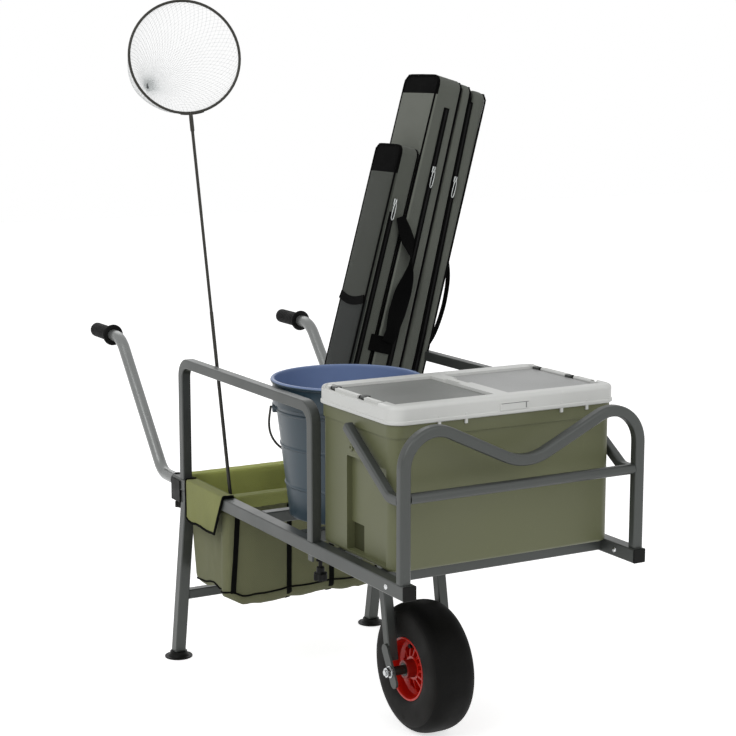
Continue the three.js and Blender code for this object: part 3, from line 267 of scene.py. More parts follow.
def hard_finish(name, colour, roughness, metallic=0.0, patches=0.08, patch_scale=14.0, grain=0.00004,
                grain_scale=900.0, scuffs=0.12, coat=0.0, gloss=0.5):
    """Paint, metal, rubber or moulded plastic with patches, grain and scuffs."""
    known = bpy.data.materials.get(name)
    if known:
        return known
    material, tree, shader, place = plain_material(name)
    wear = tree.nodes.new("ShaderNodeGroup")
    wear.node_tree = shared_group("hand wear", hand_wear_group)
    feed(tree, wear.inputs["Vector"], place)
    feed(tree, wear.inputs["Colour"], tuple(colour))
    for label, number in (("Patches", patches), ("Patch Scale", patch_scale), ("Grain Scale", grain_scale),
                          ("Scuffs", scuffs), ("Roughness", roughness)):
        wear.inputs[label].default_value = number
    feed(tree, shader.inputs["Base Color"], wear.outputs["Colour"])
    feed(tree, shader.inputs["Roughness"], wear.outputs["Roughness"])
    shader.inputs["Metallic"].default_value = metallic
    shader.inputs["Specular IOR Level"].default_value = gloss
    shader.inputs["Coat Weight"].default_value = coat
    shader.inputs["Coat Roughness"].default_value = 0.15
    bumped(tree, shader, wear.outputs["Height"], grain)
    return material


def cloth_finish(name, colour, thread, lean=0.0, patches=0.1, depth=0.0004, roughness=0.85, sheen=0.15,
                 gloss=0.15):
    """Woven cloth with faded patches; lean turns its threads with a piece that leans sideways."""
    known = bpy.data.materials.get(name)
    if known:
        return known
    material, tree, shader, place = plain_material(name)
    turned_place = tree.nodes.new("ShaderNodeMapping")
    turned_place.inputs["Rotation"].default_value = (0, -lean, 0)
    feed(tree, turned_place.inputs["Vector"], place)
    normal = tree.nodes.new("ShaderNodeNewGeometry").outputs["Normal"]
    weave = tree.nodes.new("ShaderNodeGroup")
    weave.node_tree = shared_group("plain weave", weave_group)
    feed(tree, weave.inputs["Vector"], turned_place.outputs[0])
    feed(tree, weave.inputs["Normal"], normal)
    weave.inputs["Thread"].default_value = thread
    wear = tree.nodes.new("ShaderNodeGroup")
    wear.node_tree = shared_group("hand wear", hand_wear_group)
    feed(tree, wear.inputs["Vector"], place)
    feed(tree, wear.inputs["Colour"], tuple(colour))
    for label, number in (("Patches", patches), ("Patch Scale", 9.0), ("Grain Scale", 1400.0),
                          ("Scuffs", 0.0), ("Roughness", roughness)):
        wear.inputs[label].default_value = number
    # The weave's painted shade and slub tone scale the cloth's colour
    shade = tree.nodes.new("ShaderNodeVectorMath")
    shade.operation = "SCALE"
    feed(tree, shade.inputs[0], wear.outputs["Colour"])
    feed(tree, shade.inputs["Scale"], weave.outputs["Shade"])
    feed(tree, shader.inputs["Base Color"], shade.outputs[0])
    feed(tree, shader.inputs["Roughness"], wear.outputs["Roughness"])
    shader.inputs["Sheen Weight"].default_value = sheen
    shader.inputs["Specular IOR Level"].default_value = gloss
    bumped(tree, shader, weave.outputs["Height"], depth)
    return material


def frame_paint():
    return hard_finish("satin frame paint", colours().frame_paint, 0.38, 0.4, 0.07, 9.0, 0.00003, 700.0, 0.1)


def handle_metal():
    return hard_finish("handle metal", colours().handle_paint, 0.28, 0.6, 0.06, 12.0, 0.00002, 600.0, 0.15)


def plated_steel():
    return hard_finish("plated steel", tone("c9cbcc"), 0.2, 1.0, 0.08, 40.0, 0.00002, 800.0, 0.1)


def black_plastic():
    return hard_finish("black moulded plastic", tone("0a0b09"), 0.5, 0.0, 0.15, 30.0, 0.00006, 1300.0, 0.3,
                       gloss=0.15)


def black_rubber():
    return hard_finish("black rubber", tone("0b0b0b"), 0.6, 0.0, 0.15, 30.0, 0.00008, 1100.0, 0.2, gloss=0.15)


def dark_metal():
    return hard_finish("dark net metal", tone("2c2b26"), 0.35, 0.5, 0.08, 30.0, 0.00002, 800.0, 0.15)


def case_shade(name, colour):
    return cloth_finish(name, colour, sizes().weave, CASE_LEAN, 0.07, 0.0003)


def case_trim():
    return cloth_finish("case webbing", colours().case_trim, sizes().weave, CASE_LEAN, 0.06, 0.0004, 0.8, 0.0,
                        0.04)


def bag_cloth():
    return cloth_finish("bag cloth", colours().bag_cloth, sizes().bag_weave, 0.0, 0.12, 0.0005)


def flap_cloth():
    return cloth_finish("bag flap cloth", colours().flap_cloth, sizes().bag_weave, 0.0, 0.22, 0.0012)


def webbing():
    return cloth_finish("bag webbing", tone("0b0c0a"), 0.0014, 0.0, 0.06, 0.0004, 0.8, 0.0, 0.05)


# Mesh helpers, in millimetres


def station(point, heading, side):
    """The place of an outline on a path: its Z looks along the heading, its X to one side."""
    z = Vector(heading).normalized()
    y = z.cross(Vector(side)).normalized()
    return Matrix.Translation(point) @ Matrix((y.cross(z), y, z)).transposed().to_4x4()


def bent_path(corners, bends, side, steps=10):
    """Stations of a tube bent at its corners."""
    points = [Vector(corner) for corner in corners]
    headings = [(b - a).normalized() for a, b in zip(points, points[1:])]
    path = [station(points[0], headings[0], side)]
    for corner, before, after, radius in zip(points[1:], headings, headings[1:], bends):
        turn = before.angle(after)
        inward = (after - before * before.dot(after)).normalized()
        start = corner - before * radius * math.tan(turn / 2)
        for i in range(steps + 1):
            angle = turn * i / steps
            here = start + before * radius * math.sin(angle) + inward * radius * (1 - math.cos(angle))
            path.append(station(here, before * math.cos(angle) + inward * math.sin(angle), side))
    path.append(station(points[-1], headings[-1], side))
    return path


def eased(points, steps=6, closed=False):
    """Points along a smooth line through the given ones."""
    known = [Vector(p) for p in points]
    count = len(known)
    line = []
    for i in range(count if closed else count - 1):
        if closed:
            a, b, c, d = (known[(i + k) % count] for k in (-1, 0, 1, 2))
        else:
            a, b, c, d = known[max(i - 1, 0)], known[i], known[i + 1], known[min(i + 2, count - 1)]
        for k in range(steps):
            t = k / steps
            line.append(0.5 * (2 * b + (c - a) * t + (2 * a - 5 * b + 4 * c - d) * t ** 2
                               + (3 * b - a - 3 * c + d) * t ** 3))
    return line if closed else line + [known[-1]]


def carried(points, side, closed=False):
    """Stations along a line of points, each turned as little as possible from the one before."""
    count = len(points)
    path = []
    for i, here in enumerate(points):
        before = points[i - 1] if i or closed else here
        after = points[(i + 1) % count] if i < count - 1 or closed else here
        path.append(station(here, after - before, side))
        side = path[-1].col[0].to_3d()
    return path


def outline_edges(verts):
    return list(dict.fromkeys(edge for vert in verts for edge in vert.link_edges))


def verts_in(geom):
    return [part for part in geom if isinstance(part, bmesh.types.BMVert)]


def edges_among(geom, verts):
    kept = set(verts)
    return [part for part in geom if isinstance(part, bmesh.types.BMEdge) and set(part.verts) <= kept]


def open_line(bm, points):
    verts = [bm.verts.new(point) for point in points]
    return verts, [bm.edges.new(pair) for pair in zip(verts, verts[1:])]


def square_outline(bm, size, corner, start):
    made = bmesh.ops.create_circle(bm, cap_ends=True, segments=4, radius=size / math.sqrt(2))["verts"]
    bmesh.ops.rotate(bm, verts=made, cent=(0, 0, 0), matrix=Matrix.Rotation(math.pi / 4, 3, "Z"))
    bmesh.ops.bevel(bm, geom=made, offset=corner, offset_type="OFFSET", segments=3, profile=0.5,
                    affect="VERTICES", material=-1)
    face = next(f for f in bm.faces if len(f.verts) > 4)
    ring = list(face.edges)
    bmesh.ops.transform(bm, matrix=start, verts=list(face.verts))
    bmesh.ops.delete(bm, geom=[face], context="FACES_ONLY")
    return ring


def round_outline(bm, radius, start, sides=24):
    made = bmesh.ops.create_circle(bm, cap_ends=False, segments=sides, radius=radius)["verts"]
    ring = outline_edges(made)
    bmesh.ops.transform(bm, matrix=start, verts=made)
    return ring


def flat_outline(bm, width, thickness, start):
    made = bmesh.ops.create_circle(bm, cap_ends=False, segments=4, radius=math.sqrt(0.5))["verts"]
    ring = outline_edges(made)
    shape = Matrix.Diagonal((thickness, width, 1)).to_4x4() @ Matrix.Rotation(math.pi / 4, 4, "Z")
    bmesh.ops.transform(bm, matrix=start @ shape, verts=made)
    return ring


def sweep(bm, ring, path, closed=False):
    """Carries an outline, made at the first station, along the others, and closes its ends."""
    first = last = ring
    for before, after in zip(path, path[1:]):
        grown = bmesh.ops.extrude_edge_only(bm, edges=last)["geom"]
        verts = verts_in(grown)
        bmesh.ops.transform(bm, matrix=after @ before.inverted(), verts=verts)
        last = edges_among(grown, verts)
    if closed:
        bmesh.ops.bridge_loops(bm, edges=first + last)
    else:
        bmesh.ops.edgeloop_fill(bm, edges=first)
        bmesh.ops.edgeloop_fill(bm, edges=last)
    return bm


def drawn_out(bm, edges, move, steps):
    """Draws a line of edges out into a sheet, step by step."""
    for _ in range(steps):
        grown = bmesh.ops.extrude_edge_only(bm, edges=edges)["geom"]
        verts = verts_in(grown)
        bmesh.ops.translate(bm, verts=verts, vec=move)
        edges = edges_among(grown, verts)


def square_tube(corners, bends, side, size, corner=2.6, steps=10):
    bm = bmesh.new()
    path = bent_path(corners, bends, side, steps)
    return sweep(bm, square_outline(bm, size, corner, path[0]), path)


def round_tube(corners, bends, side, radius, sides=32, steps=12):
    bm = bmesh.new()
    path = bent_path(corners, bends, side, steps)
    return sweep(bm, round_outline(bm, radius, path[0], sides), path)


def wire(points, radius, side=(0, 0, 1), steps=6, sides=8, closed=False):
    bm = bmesh.new()
    path = carried(eased(points, steps, closed), Vector(side), closed)
    return sweep(bm, round_outline(bm, radius, path[0], sides), path, closed)


def strap(points, width, thickness, side, steps=6):
    """A flat strap whose thickness looks to the given side."""
    bm = bmesh.new()
    path = carried(eased(points, steps), Vector(side))
    return sweep(bm, flat_outline(bm, width, thickness, path[0]), path)


def turned(profile, steps, place=Matrix(), closed=False, soften=0.0, bevel_steps=2):
    """Turns a profile of radius and height round Z, softens its sharp rings and puts it in its place."""
    bm = bmesh.new()
    verts, edges = open_line(bm, [(radius, 0, height) for radius, height in profile])
    if closed:
        edges.append(bm.edges.new((verts[-1], verts[0])))
    bmesh.ops.spin(bm, geom=verts + edges, cent=(0, 0, 0), axis=(0, 0, 1), angle=2 * math.pi, steps=steps,
                   use_merge=True, use_duplicate=False)
    bmesh.ops.remove_doubles(bm, verts=bm.verts, dist=0.01)
    bmesh.ops.recalc_face_normals(bm, faces=bm.faces)
    if soften:
        round_off(bm, sharper_than(bm, SOFTENED_FROM), soften, bevel_steps)
    bmesh.ops.transform(bm, matrix=place, verts=bm.verts)
    return bm


def across(x, y, z):
    """Takes Z to +X at a point."""
    return Matrix.Translation((x, y, z)) @ Matrix.Rotation(math.pi / 2, 4, "Y")


def rearward(x, y, z):
    """Takes Z to +Y at a point."""
    return Matrix.Translation((x, y, z)) @ Matrix.Rotation(-math.pi / 2, 4, "X")


def round_off(bm, edges, width, steps=3):
    bmesh.ops.bevel(bm, geom=edges, offset=width, offset_type="OFFSET", segments=steps, profile=0.5,
                    affect="EDGES", clamp_overlap=True, material=-1)


def block(low, high):
    bm = bmesh.new()
    low, high = Vector(low), Vector(high)
    shape = Matrix.Translation((low + high) / 2) @ Matrix.Diagonal(high - low).to_4x4()
    bmesh.ops.create_cube(bm, size=1, matrix=shape)
    return bm


def edges_by(bm, test):
    return [edge for edge in bm.edges if test(*(vert.co for vert in edge.verts))]


def slab(low, high, corner, edge=0.0, corner_steps=8, edge_steps=3, foot_edge=None):
    """A block with round upright corners and softened top and foot."""
    bm = block(low, high)
    round_off(bm, edges_by(bm, lambda a, b: abs(a.z - b.z) > 0.01), corner, corner_steps)
    for level, width in ((high[2], edge), (low[2], edge if foot_edge is None else foot_edge)):
        if width:
            rim = edges_by(bm, lambda a, b: abs(a.z - level) < 0.001 and abs(b.z - level) < 0.001)
            round_off(bm, rim, width, edge_steps)
    return bm


def sharper_than(bm, angle):
    return [edge for edge in bm.edges if edge.is_manifold and edge.calc_face_angle(0) > angle]


def wall_round(low, high, corner, corner_steps, soften, soften_steps, thickness=4):
    """A thin upright wall round a box with round corners."""
    wall = slab(low, high, corner, 0, corner_steps)
    bmesh.ops.delete(wall, geom=[f for f in wall.faces if abs(f.normal.z) > 0.9], context="FACES_ONLY")
    bmesh.ops.recalc_face_normals(wall, faces=wall.faces)
    bmesh.ops.solidify(wall, geom=wall.faces, thickness=thickness)
    bmesh.ops.recalc_face_normals(wall, faces=wall.faces)
    round_off(wall, sharper_than(wall, 1), soften, soften_steps)
    return wall


def soft_block(low, high, edge, steps=2):
    bm = block(low, high)
    round_off(bm, list(bm.edges), edge, steps)
    return bm


def split(bm, axis, places, keep=lambda face: True):
    """Cuts the chosen faces across at places along an axis."""
    for at in places:
        faces = [face for face in bm.faces if keep(face)]
        edges = dict.fromkeys(edge for face in faces for edge in face.edges)
        verts = dict.fromkeys(vert for face in faces for vert in face.verts)
        point = Vector((0, 0, 0))
        point[axis] = at
        normal = Vector((0, 0, 0))
        normal[axis] = 1
        bmesh.ops.bisect_plane(bm, geom=[*faces, *edges, *verts], dist=0.0001, plane_co=point, plane_no=normal)


def push(bm, faces, move):
    """Pushes a group of faces in or out as one, with walls round it."""
    grown = bmesh.ops.extrude_face_region(bm, geom=faces)["geom"]
    bmesh.ops.delete(bm, geom=[f for f in faces if f.is_valid], context="FACES_ONLY")
    bmesh.ops.translate(bm, verts=verts_in(grown), vec=move)
    bmesh.ops.delete(bm, geom=[e for e in bm.edges if not e.link_faces], context="EDGES")
    bmesh.ops.delete(bm, geom=[v for v in bm.verts if not v.link_faces], context="VERTS")
    return [g for g in grown if isinstance(g, bmesh.types.BMFace)]


def within(face, low, high):
    centre = face.calc_center_median()
    return all(a - 0.01 <= c <= b + 0.01 for a, c, b in zip(low, centre, high))


def make_piece(name, body, parts, nodes=(), sharp=SHARP, weighted=True):
    """Joins the parts, each a mesh with its finishes, in the frame, as a piece that rides on a body."""
    mesh = bpy.data.meshes.new(name)
    whole = bmesh.new()
    for part, finishes in parts:
        bmesh.ops.remove_doubles(part, verts=part.verts, dist=0.004)
        bmesh.ops.recalc_face_normals(part, faces=part.faces)
        finishes = finishes if isinstance(finishes, (list, tuple)) else [finishes]
        for finish in finishes:
            if finish.name not in mesh.materials:
                mesh.materials.append(finish)
        for face in part.faces:
            finish = finishes[min(face.material_index, len(finishes) - 1)]
            face.material_index = mesh.materials.find(finish.name)
            face.smooth = True
        loose = bpy.data.meshes.new("part")
        part.to_mesh(loose)
        part.free()
        whole.from_mesh(loose)
        bpy.data.meshes.remove(loose)
    bmesh.ops.transform(whole, matrix=PLACE, verts=whole.verts)
    whole.to_mesh(mesh)
    whole.free()
    mesh.set_sharp_from_angle(angle=sharp)
    piece = bpy.data.objects.new(name, mesh)
    bpy.context.scene.collection.objects.link(piece)
    if weighted:
        smoothed = piece.modifiers.new("even shading", "WEIGHTED_NORMAL")
        smoothed.keep_sharp = True
    if nodes:
        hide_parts(*nodes)
    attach(piece, body)
    return piece


def dress(finish, *nodes):
    """Gives CAD nodes a finish."""
    for node in nodes:
        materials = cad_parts[node].data.materials
        materials.clear()
        materials.append(finish)


def both(name):
    return [f"{name}_{side}" for side, _ in SIDES]


# Frame


def make_rails():
    """The straight tubes, the axle and the small fixings keep their solids and get their finishes."""
    dress(frame_paint(), *both("front_rail"), *both("rear_rail"), "deck_tube_front", "deck_tube_rear",
          "fork_crosstube", "bucket_crosstube", "bag_crosstube", "rear_crosstube", *both("leg"), "leg_brace",
          *both("fork_leg"), *both("dropout"))
    dress(black_plastic(), *both("front_cap"))
    dress(plated_steel(), *both("axle_nut"), "axle")
    dress(dark_metal(), *both("axle_spacer"), *both("bearing"))
    dress(black_rubber(), "inner_tube", "valve")


def bolt_head(x, y, z, sign, radius=5.5):
    place = Matrix.Translation((x, y, z)) @ Matrix.Rotation(sign * math.pi / 2, 4, "Y")
    dome = [(0, 3.2), (radius * 0.55, 2.9), (radius * 0.9, 1.8), (radius, 0.6), (radius, -0.4), (0, -0.4)]
    return turned(dome, 20, place)


def make_bolts():
    """Dome bolts on both faces of the front rails, and a clamp with its ring on each rear rail's end."""
    for side, sign in SIDES:
        bolts = [bolt_head(sign * RAIL_FACE, 63, RAIL_Z, sign), bolt_head(sign * 247, 63, RAIL_Z, -sign)]
        make_piece(f"rail_bolts_{side}", "front_frame", [(bolt, plated_steel()) for bolt in bolts])
        low, high = sorted((sign * (RAIL_FACE + 0.1), sign * (RAIL_FACE + 3.2)))
        cheek = soft_block((low, 1004, 387), (high, 1052, 438), 1.2, 2)
        ring = turned([(14.3, 1050.4), (17, 1050.4), (17, 1055), (16, 1056.5), (14.3, 1056.5)], 32,
                      rearward(sign * RAIL_X, 0, RAIL_Z), closed=True, soften=0.5)
        parts = [(part, black_plastic()) for part in (cheek, ring)]
        make_piece(f"rail_end_clamp_{side}", "frame", parts)


def make_hoops():
    for side, sign in SIDES:
        x = sign * BAR_X
        corners = [(x, 367, DECK_SEAT), (x, 367, 714), (x, 997, 714), (x, 997, DECK_SEAT)]
        parts = [(square_tube(corners, (34, 34), (1, 0, 0), BAR_SIZE), frame_paint())]
        make_piece(f"hoop_{side}", "frame", parts, [f"side_hoop_{side}"])


def make_guard():
    y, bar_z, arm_z = 19, 602, 597
    corners = [(-BAR_X, y, DECK_SEAT), (-BAR_X, y, 760.8), (0, y, 637), (BAR_X, y, 760.8),
               (BAR_X, y, DECK_SEAT)]
    guard = square_tube(corners, (67, 108, 67), (0, 1, 0), BAR_SIZE, corner=5.5, steps=16)
    make_piece("guard", "front_frame", [(guard, frame_paint())], ["front_guard"])
    bar = round_tube([(-252.7, y, bar_z), (252.7, y, bar_z)], (), (0, 0, 1), 10.2)
    make_piece("guard_bar", "front_frame", [(bar, frame_paint())], ["guard_crossbar"])
    for side, sign in SIDES:
        x = sign * BAR_X
        arm = square_tube([(x, 30.3, arm_z), (x, 66, arm_z), (x, 228, 701)], (30,), (1, 0, 0), 19, corner=4.5)
        make_piece(f"arm_{side}", "front_frame", [(arm, frame_paint())], [f"guard_arm_{side}"])


def make_feet():
    profile = [(0, 0), (32.5, 0), (32.5, 3), (25, 3), (20.5, 8), (20, 14), (0, 14)]
    for side, sign in SIDES:
        foot = turned(profile, 48, Matrix.Translation((sign * RAIL_X, 1065, 0)), soften=0.8)
        make_piece(f"foot_disc_{side}", "frame", [(foot, black_plastic())], [f"foot_{side}"])


# Handles and knobs


GRIP_Z = 718


def make_handles():
    for side, sign in SIDES:
        x = sign * RAIL_X
        bend_points = [(x, 1052, RAIL_Z), (x, 1138, RAIL_Z), (x, 1388, GRIP_Z), (x, 1547, GRIP_Z)]
        tube = round_tube(bend_points, (60, 70), (1, 0, 0), 14)
        insert = round_tube([(x, 900, RAIL_Z), (x, 1054, RAIL_Z)], (), (1, 0, 0), 12.2)
        parts = [(part, handle_metal()) for part in (tube, insert)]
        make_piece(f"handle_{side}_tube", f"handle_{side}", parts, [f"handle_tube_{side}"])
        profile = [(14.4, 0), (23.5, 0), (26, 1.6), (26, 3.4), (24, 5), (19, 6), (17.6, 9)]
        for i in range(12):
            start = 11 + 8 * i
            profile += [(17.8, start), (17.8, start + 4.4), (16.6, start + 5.2), (16.6, start + 7.2)]
        profile += [(17.8, 108), (17.4, 111.5), (15, 113.8), (9, 114.6), (0, 114.6)]
        grip = turned(profile, 40, rearward(x, 1438, GRIP_Z), soften=0.35)
        make_piece(f"grip_{side}", f"handle_{side}", [(grip, black_rubber())], [f"handle_grip_{side}"])


def knob(x, y):
    """A six-lobed knob under a rail, on its stud."""
    head = bmesh.new()
    verts = bmesh.ops.create_circle(head, cap_ends=True, segments=48, radius=1)["verts"]
    for vert in verts:
        angle = math.atan2(vert.co.y, vert.co.x)
        vert.co *= 13.4 + 1.5 * math.cos(6 * angle)
    push(head, list(head.faces), (0, 0, 15))
    bmesh.ops.holes_fill(head, edges=head.edges, sides=0)
    rims = edges_by(head, lambda a, b: abs(a.z - b.z) < 0.001)
    round_off(head, rims, 2.2, 3)
    bmesh.ops.translate(head, verts=head.verts, vec=(x, y, 369))
    place = Matrix.Translation((x, y, 384))
    neck = turned([(0, -1), (10.5, -1), (8.2, 2.5), (8, 11), (7, 12), (0, 12)], 28, place, soften=0.6)
    shank = turned([(0, 11), (4, 11), (4, 33.5), (0, 33.5)], 20, place)
    washer = turned([(4.3, 24), (9, 24), (9, 26), (4.3, 26)], 24, place, closed=True, soften=0.3)
    return [(part, black_plastic()) for part in (head, neck, shank, washer)]


def make_knobs():
    for side, sign in SIDES:
        for kind, y in (("joint", 347), ("handle", 1035)):
            make_piece(f"{kind}_knob_head_{side}", f"{kind}_knob_{side}", knob(sign * RAIL_X, y),
                       [f"{kind}_knob_{side}"])


# Wheel


AXLE_Y = 378
AXLE_Z = 138
WHEEL = across(0, AXLE_Y, AXLE_Z)
GROOVE_AT = 45.5
RIBS = 12


def oval(angle, inset=0.0):
    """A point of the tyre's section as radius and sideways place."""
    cosine, sine = math.cos(angle), math.sin(angle)
    side = (50 - inset) * math.copysign(abs(cosine) ** 0.66, cosine)
    return 96 + (42 - inset) * math.copysign(abs(sine) ** 0.66, sine), side


def make_tyre():
    groove = mm(sizes().tread_groove)
    profile = []
    steps = 90
    for i in range(steps + 1):
        angle = math.radians(-45 + 270 * i / steps)
        radius, side = oval(angle)
        if radius > 120 and abs(abs(side) - GROOVE_AT) < 0.9:
            radius -= groove
        profile.append((radius, side))
    inner = [oval(math.radians(225 - 270 * i / 12), 6) for i in range(13)]
    tyre = turned(profile + inner, 96, WHEEL, closed=True)
    for face in tyre.faces:
        centre = face.calc_center_median()
        from_axle = (centre.yz - Vector((AXLE_Y, AXLE_Z))).length
        face.material_index = 1 if abs(centre.x) < GROOVE_AT + 0.1 and from_axle > 115 else 0
    side_rubber = hard_finish("tyre side rubber", colours().tyre, 0.6, 0, 0.12, 16.0, 0.0001, 800.0, 0.15,
                              gloss=0.15)
    tread_rubber = hard_finish("tyre tread rubber", tone("0a0a09"), 0.65, 0, 0.18, 24.0, 0.0002, 420.0, 0.1,
                               gloss=0.12)
    make_piece("tyre_cover", "wheel", [(tyre, [side_rubber, tread_rubber])], ["tyre"],
               math.radians(50))


def make_rim():
    red = hard_finish("red rim plastic", colours().rim, 0.33, 0, 0.1, 26.0, 0.00003, 700.0, 0.12)
    bed = [
        (66.9, 45), (66.9, 42), (63.9, 42), (63.9, 23.5), (56.9, 20), (56.9, -20), (63.9, -23.5),
        (63.9, -42), (66.9, -42), (66.9, -45), (62.9, -45), (59.9, -39), (59.9, -23.5), (52.9, -16),
        (52.9, 16), (59.9, 23.5), (59.9, 39), (62.9, 45),
    ]
    parts = [(turned(bed, 80, WHEEL, closed=True, soften=0.9), red)]
    boss = [(19.3, -30), (25, -30), (25, 30), (19.3, 30)]
    parts.append((turned(boss, 48, WHEEL, closed=True, soften=0.9), red))
    web = [(24, -4), (54, -3), (54, 3), (24, 4)]
    parts.append((turned(web, 64, WHEEL, closed=True), red))
    for i in range(RIBS):
        rib = block((23, -2.7, -29), (54.5, 2.7, 29))
        for vert in rib.verts:
            if vert.co.x > 40:
                vert.co.z *= 19 / 29
        round_off(rib, list(rib.edges), 0.9, 2)
        place = WHEEL @ Matrix.Rotation(2 * math.pi * i / RIBS, 4, "Z")
        bmesh.ops.transform(rib, matrix=place, verts=rib.verts)
        parts.append((rib, red))
    make_piece("rim_spoked", "wheel", parts, ["rim"])
    hub = [(19, -50), (19, 50), (14.3, 50), (14.3, 41.7), (11.3, 41.7), (11.3, -41.7), (14.3, -41.7),
           (14.3, -50)]
    core = hard_finish("red hub plastic", tone("8e1208"), 0.42, 0, 0.1, 30.0, 0.00003, 800.0, 0.1)
    barrel = turned(hub, 48, WHEEL, closed=True, soften=0.7)
    make_piece("hub_barrel", "wheel", [(barrel, core)], ["hub"])


# Cooler


COOLER_X = 249
COOLER_FRONT = 82
COOLER_REAR = 366
COOLER_TOP = 724.3
LID_FOOT = 724.6
RECESS_Y = (108, 259)
RECESS_Z = (452.3, 638.3)
DRAIN_Y = 212
DRAIN_TOP = 506.3
HINGE_X = 239.5
HINGE_LEVEL = 31.5
LID_LEVEL = 36


def make_tub():
    green = hard_finish("green cooler plastic", colours().tub, 0.48, 0, 0.05, 5.0, 0.00007, 1500.0, 0.08)
    # shade: the tub's green painted darker, as painted shade in the drain pocket's recess
    shade = hard_finish("cooler drain painted shade", tone("3c3e29"), 0.6, 0, 0.08, 12.0, 0.00007, 1500.0, 0.05,
                        gloss=0.1)
    low = (-COOLER_X, COOLER_FRONT, DECK_SEAT)
    high = (COOLER_X, COOLER_REAR, COOLER_TOP)
    tub = slab(low, high, 24, 0, 10, 4, 7)
    for sign in (-1, 1):
        flat = lambda face: face.normal.x * sign > 0.99
        split(tub, 1, (RECESS_Y[0], DRAIN_Y, RECESS_Y[1]), flat)
        split(tub, 2, (RECESS_Z[0], DRAIN_TOP, RECESS_Z[1]), flat)
        reach = (-250, RECESS_Y[0], RECESS_Z[0]), (250, RECESS_Y[1], RECESS_Z[1])
        floor = push(tub, [f for f in tub.faces if flat(f) and within(f, *reach)], (-sign * 12, 0, 0))
        drain = [f for f in floor if within(f, (-250, DRAIN_Y, RECESS_Z[0]), (250, RECESS_Y[1], DRAIN_TOP))]
        for face in push(tub, drain, (-sign * 5, 0, 0)):
            face.material_index = 1
    top = max(tub.faces, key=lambda face: face.calc_area() * face.normal.z)
    bmesh.ops.inset_region(tub, faces=[top], thickness=19, use_even_offset=True)
    push(tub, [top], (0, 0, -258))
    round_off(tub, edges_by(tub, lambda a, b: within_recess(a) and within_recess(b)), 1.5, 2)
    collar = wall_round((-252, 79, 699.3), (252, 369, COOLER_TOP), 27, 10, 1.0, 2)
    place = Matrix.Translation((-COOLER_X, 240, 656)) @ Matrix.Rotation(-math.pi / 2, 4, "Y")
    stud = [(0, -3), (7.5, -3), (7.5, 2.2), (6, 3.4), (3, 3.4), (2.4, 1), (0, 1)]
    boss = turned(stud, 24, place, soften=0.4)
    parts = [(tub, [green, shade]), (collar, green), (boss, green)]
    make_piece("tub", "cooler", parts, ["cooler_tub"])


def within_recess(point):
    return 230 < abs(point.x) < 249.5 and 107 < point.y < 260 and 451 < point.z < 640


def lid_level(height):
    return LID_FOOT + height


def is_level(face):
    return abs(face.normal.z) > 0.99


def at_hinge_edge(face):
    centre = face.calc_center_median()
    return abs(centre.x) > 245.5 and centre.z > lid_level(26)


def make_lid():
    white = hard_finish("white lid plastic", colours().lid, 0.42, 0, 0.03, 5.0, 0.00003, 1200.0, 0.04)
    lid = slab((-256, 75, LID_FOOT), (256, 373, lid_level(LID_LEVEL)), 32, 8, 12, 5, 1.5)
    split(lid, 0, (-246, -233, -229, -225, -24, -16, -7, 7, 16, 24, 225, 229, 233, 246), is_level)
    split(lid, 1, (103, 111, 136, 232, 286, 324, 332, 348), is_level)
    pocket = []
    for face in lid.faces:
        centre = face.calc_center_median()
        x, y = abs(centre.x), centre.y
        plate = 16 < x < 233 and 103 < y < 332
        slot = 229 < x < 246 and 136 < y < 348
        notch = 7 < x < 16 and 232 < y < 286
        if face.normal.z > 0.99 and (plate or slot or notch):
            pocket.append(face)
    # The hinge slots' floors take material 1, a dark grey painted as shade in the slots
    for face in push(lid, pocket, (0, 0, -12.3)):
        if 229 < abs(face.calc_center_median().x) < 246:
            face.material_index = 1
    for sign in (-1, 1):
        low, high = sorted((sign * 24, sign * 225))
        reach = (low, 111, lid_level(-1)), (high, 324, lid_level(LID_LEVEL))
        own = [f for f in lid.faces if is_level(f) and within(f, *reach)]
        rims = []
        for upward in (1, -1):
            layer = [f for f in own if f.normal.z * upward > 0]
            edges = dict.fromkeys(e for f in layer for e in f.edges)
            rims += [e for e in edges if sum(f in layer for f in e.link_faces) == 1]
        bmesh.ops.delete(lid, geom=own, context="FACES")
        bmesh.ops.bridge_loops(lid, edges=[e for e in rims if e.is_valid])
    split(lid, 1, (131.4, 132, 352, 352.6), at_hinge_edge)
    for vert in lid.verts:
        if abs(vert.co.x) > 245.9 and 131.9 < vert.co.y < 352.1:
            vert.co.z = min(vert.co.z, lid_level(29.2))
    shade = hard_finish("hinge slot painted shade", tone("3c3e3c"), 0.6, 0, 0.05, 12.0, 0.00005, 1200.0, 0.05)
    parts = [(lid, [white, shade])]
    lip = wall_round((-258, 73, lid_level(1)), (258, 375, lid_level(8)), 34, 12, 1.6, 3)
    parts.append((lip, white))
    for sign in (-1, 1):
        x = sign * HINGE_X
        pin_z = lid_level(HINGE_LEVEL)
        for start, end in ((140, 196), (222, 310), (335, 345)):
            middle = (start + end) / 2
            half = (end - start) / 2
            knuckle = [(0, -half), (4.5, -half), (4.5, half), (0, half)]
            barrel = turned(knuckle, 20, rearward(x, middle, pin_z), soften=0.6)
            parts.append((barrel, white))
            inner, outer = sorted((x, sign * 247))
            web = block((inner, start, pin_z - 4.4), (outer, end, pin_z + 3.4))
            parts.append((web, white))
        pin = turned([(0, -107), (2, -107), (2, 107), (0, 107)], 12, rearward(x, 242, pin_z))
        parts.append((pin, plated_steel()))
    for x in (-154, -95, 122, 182):
        parts.append((soft_block((x - 3, 74.2, LID_FOOT - 8), (x + 3, 78.4, LID_FOOT + 12), 0.8), white))
    make_piece("lid_frame", "cooler_lid", parts, ["cooler_lid"])


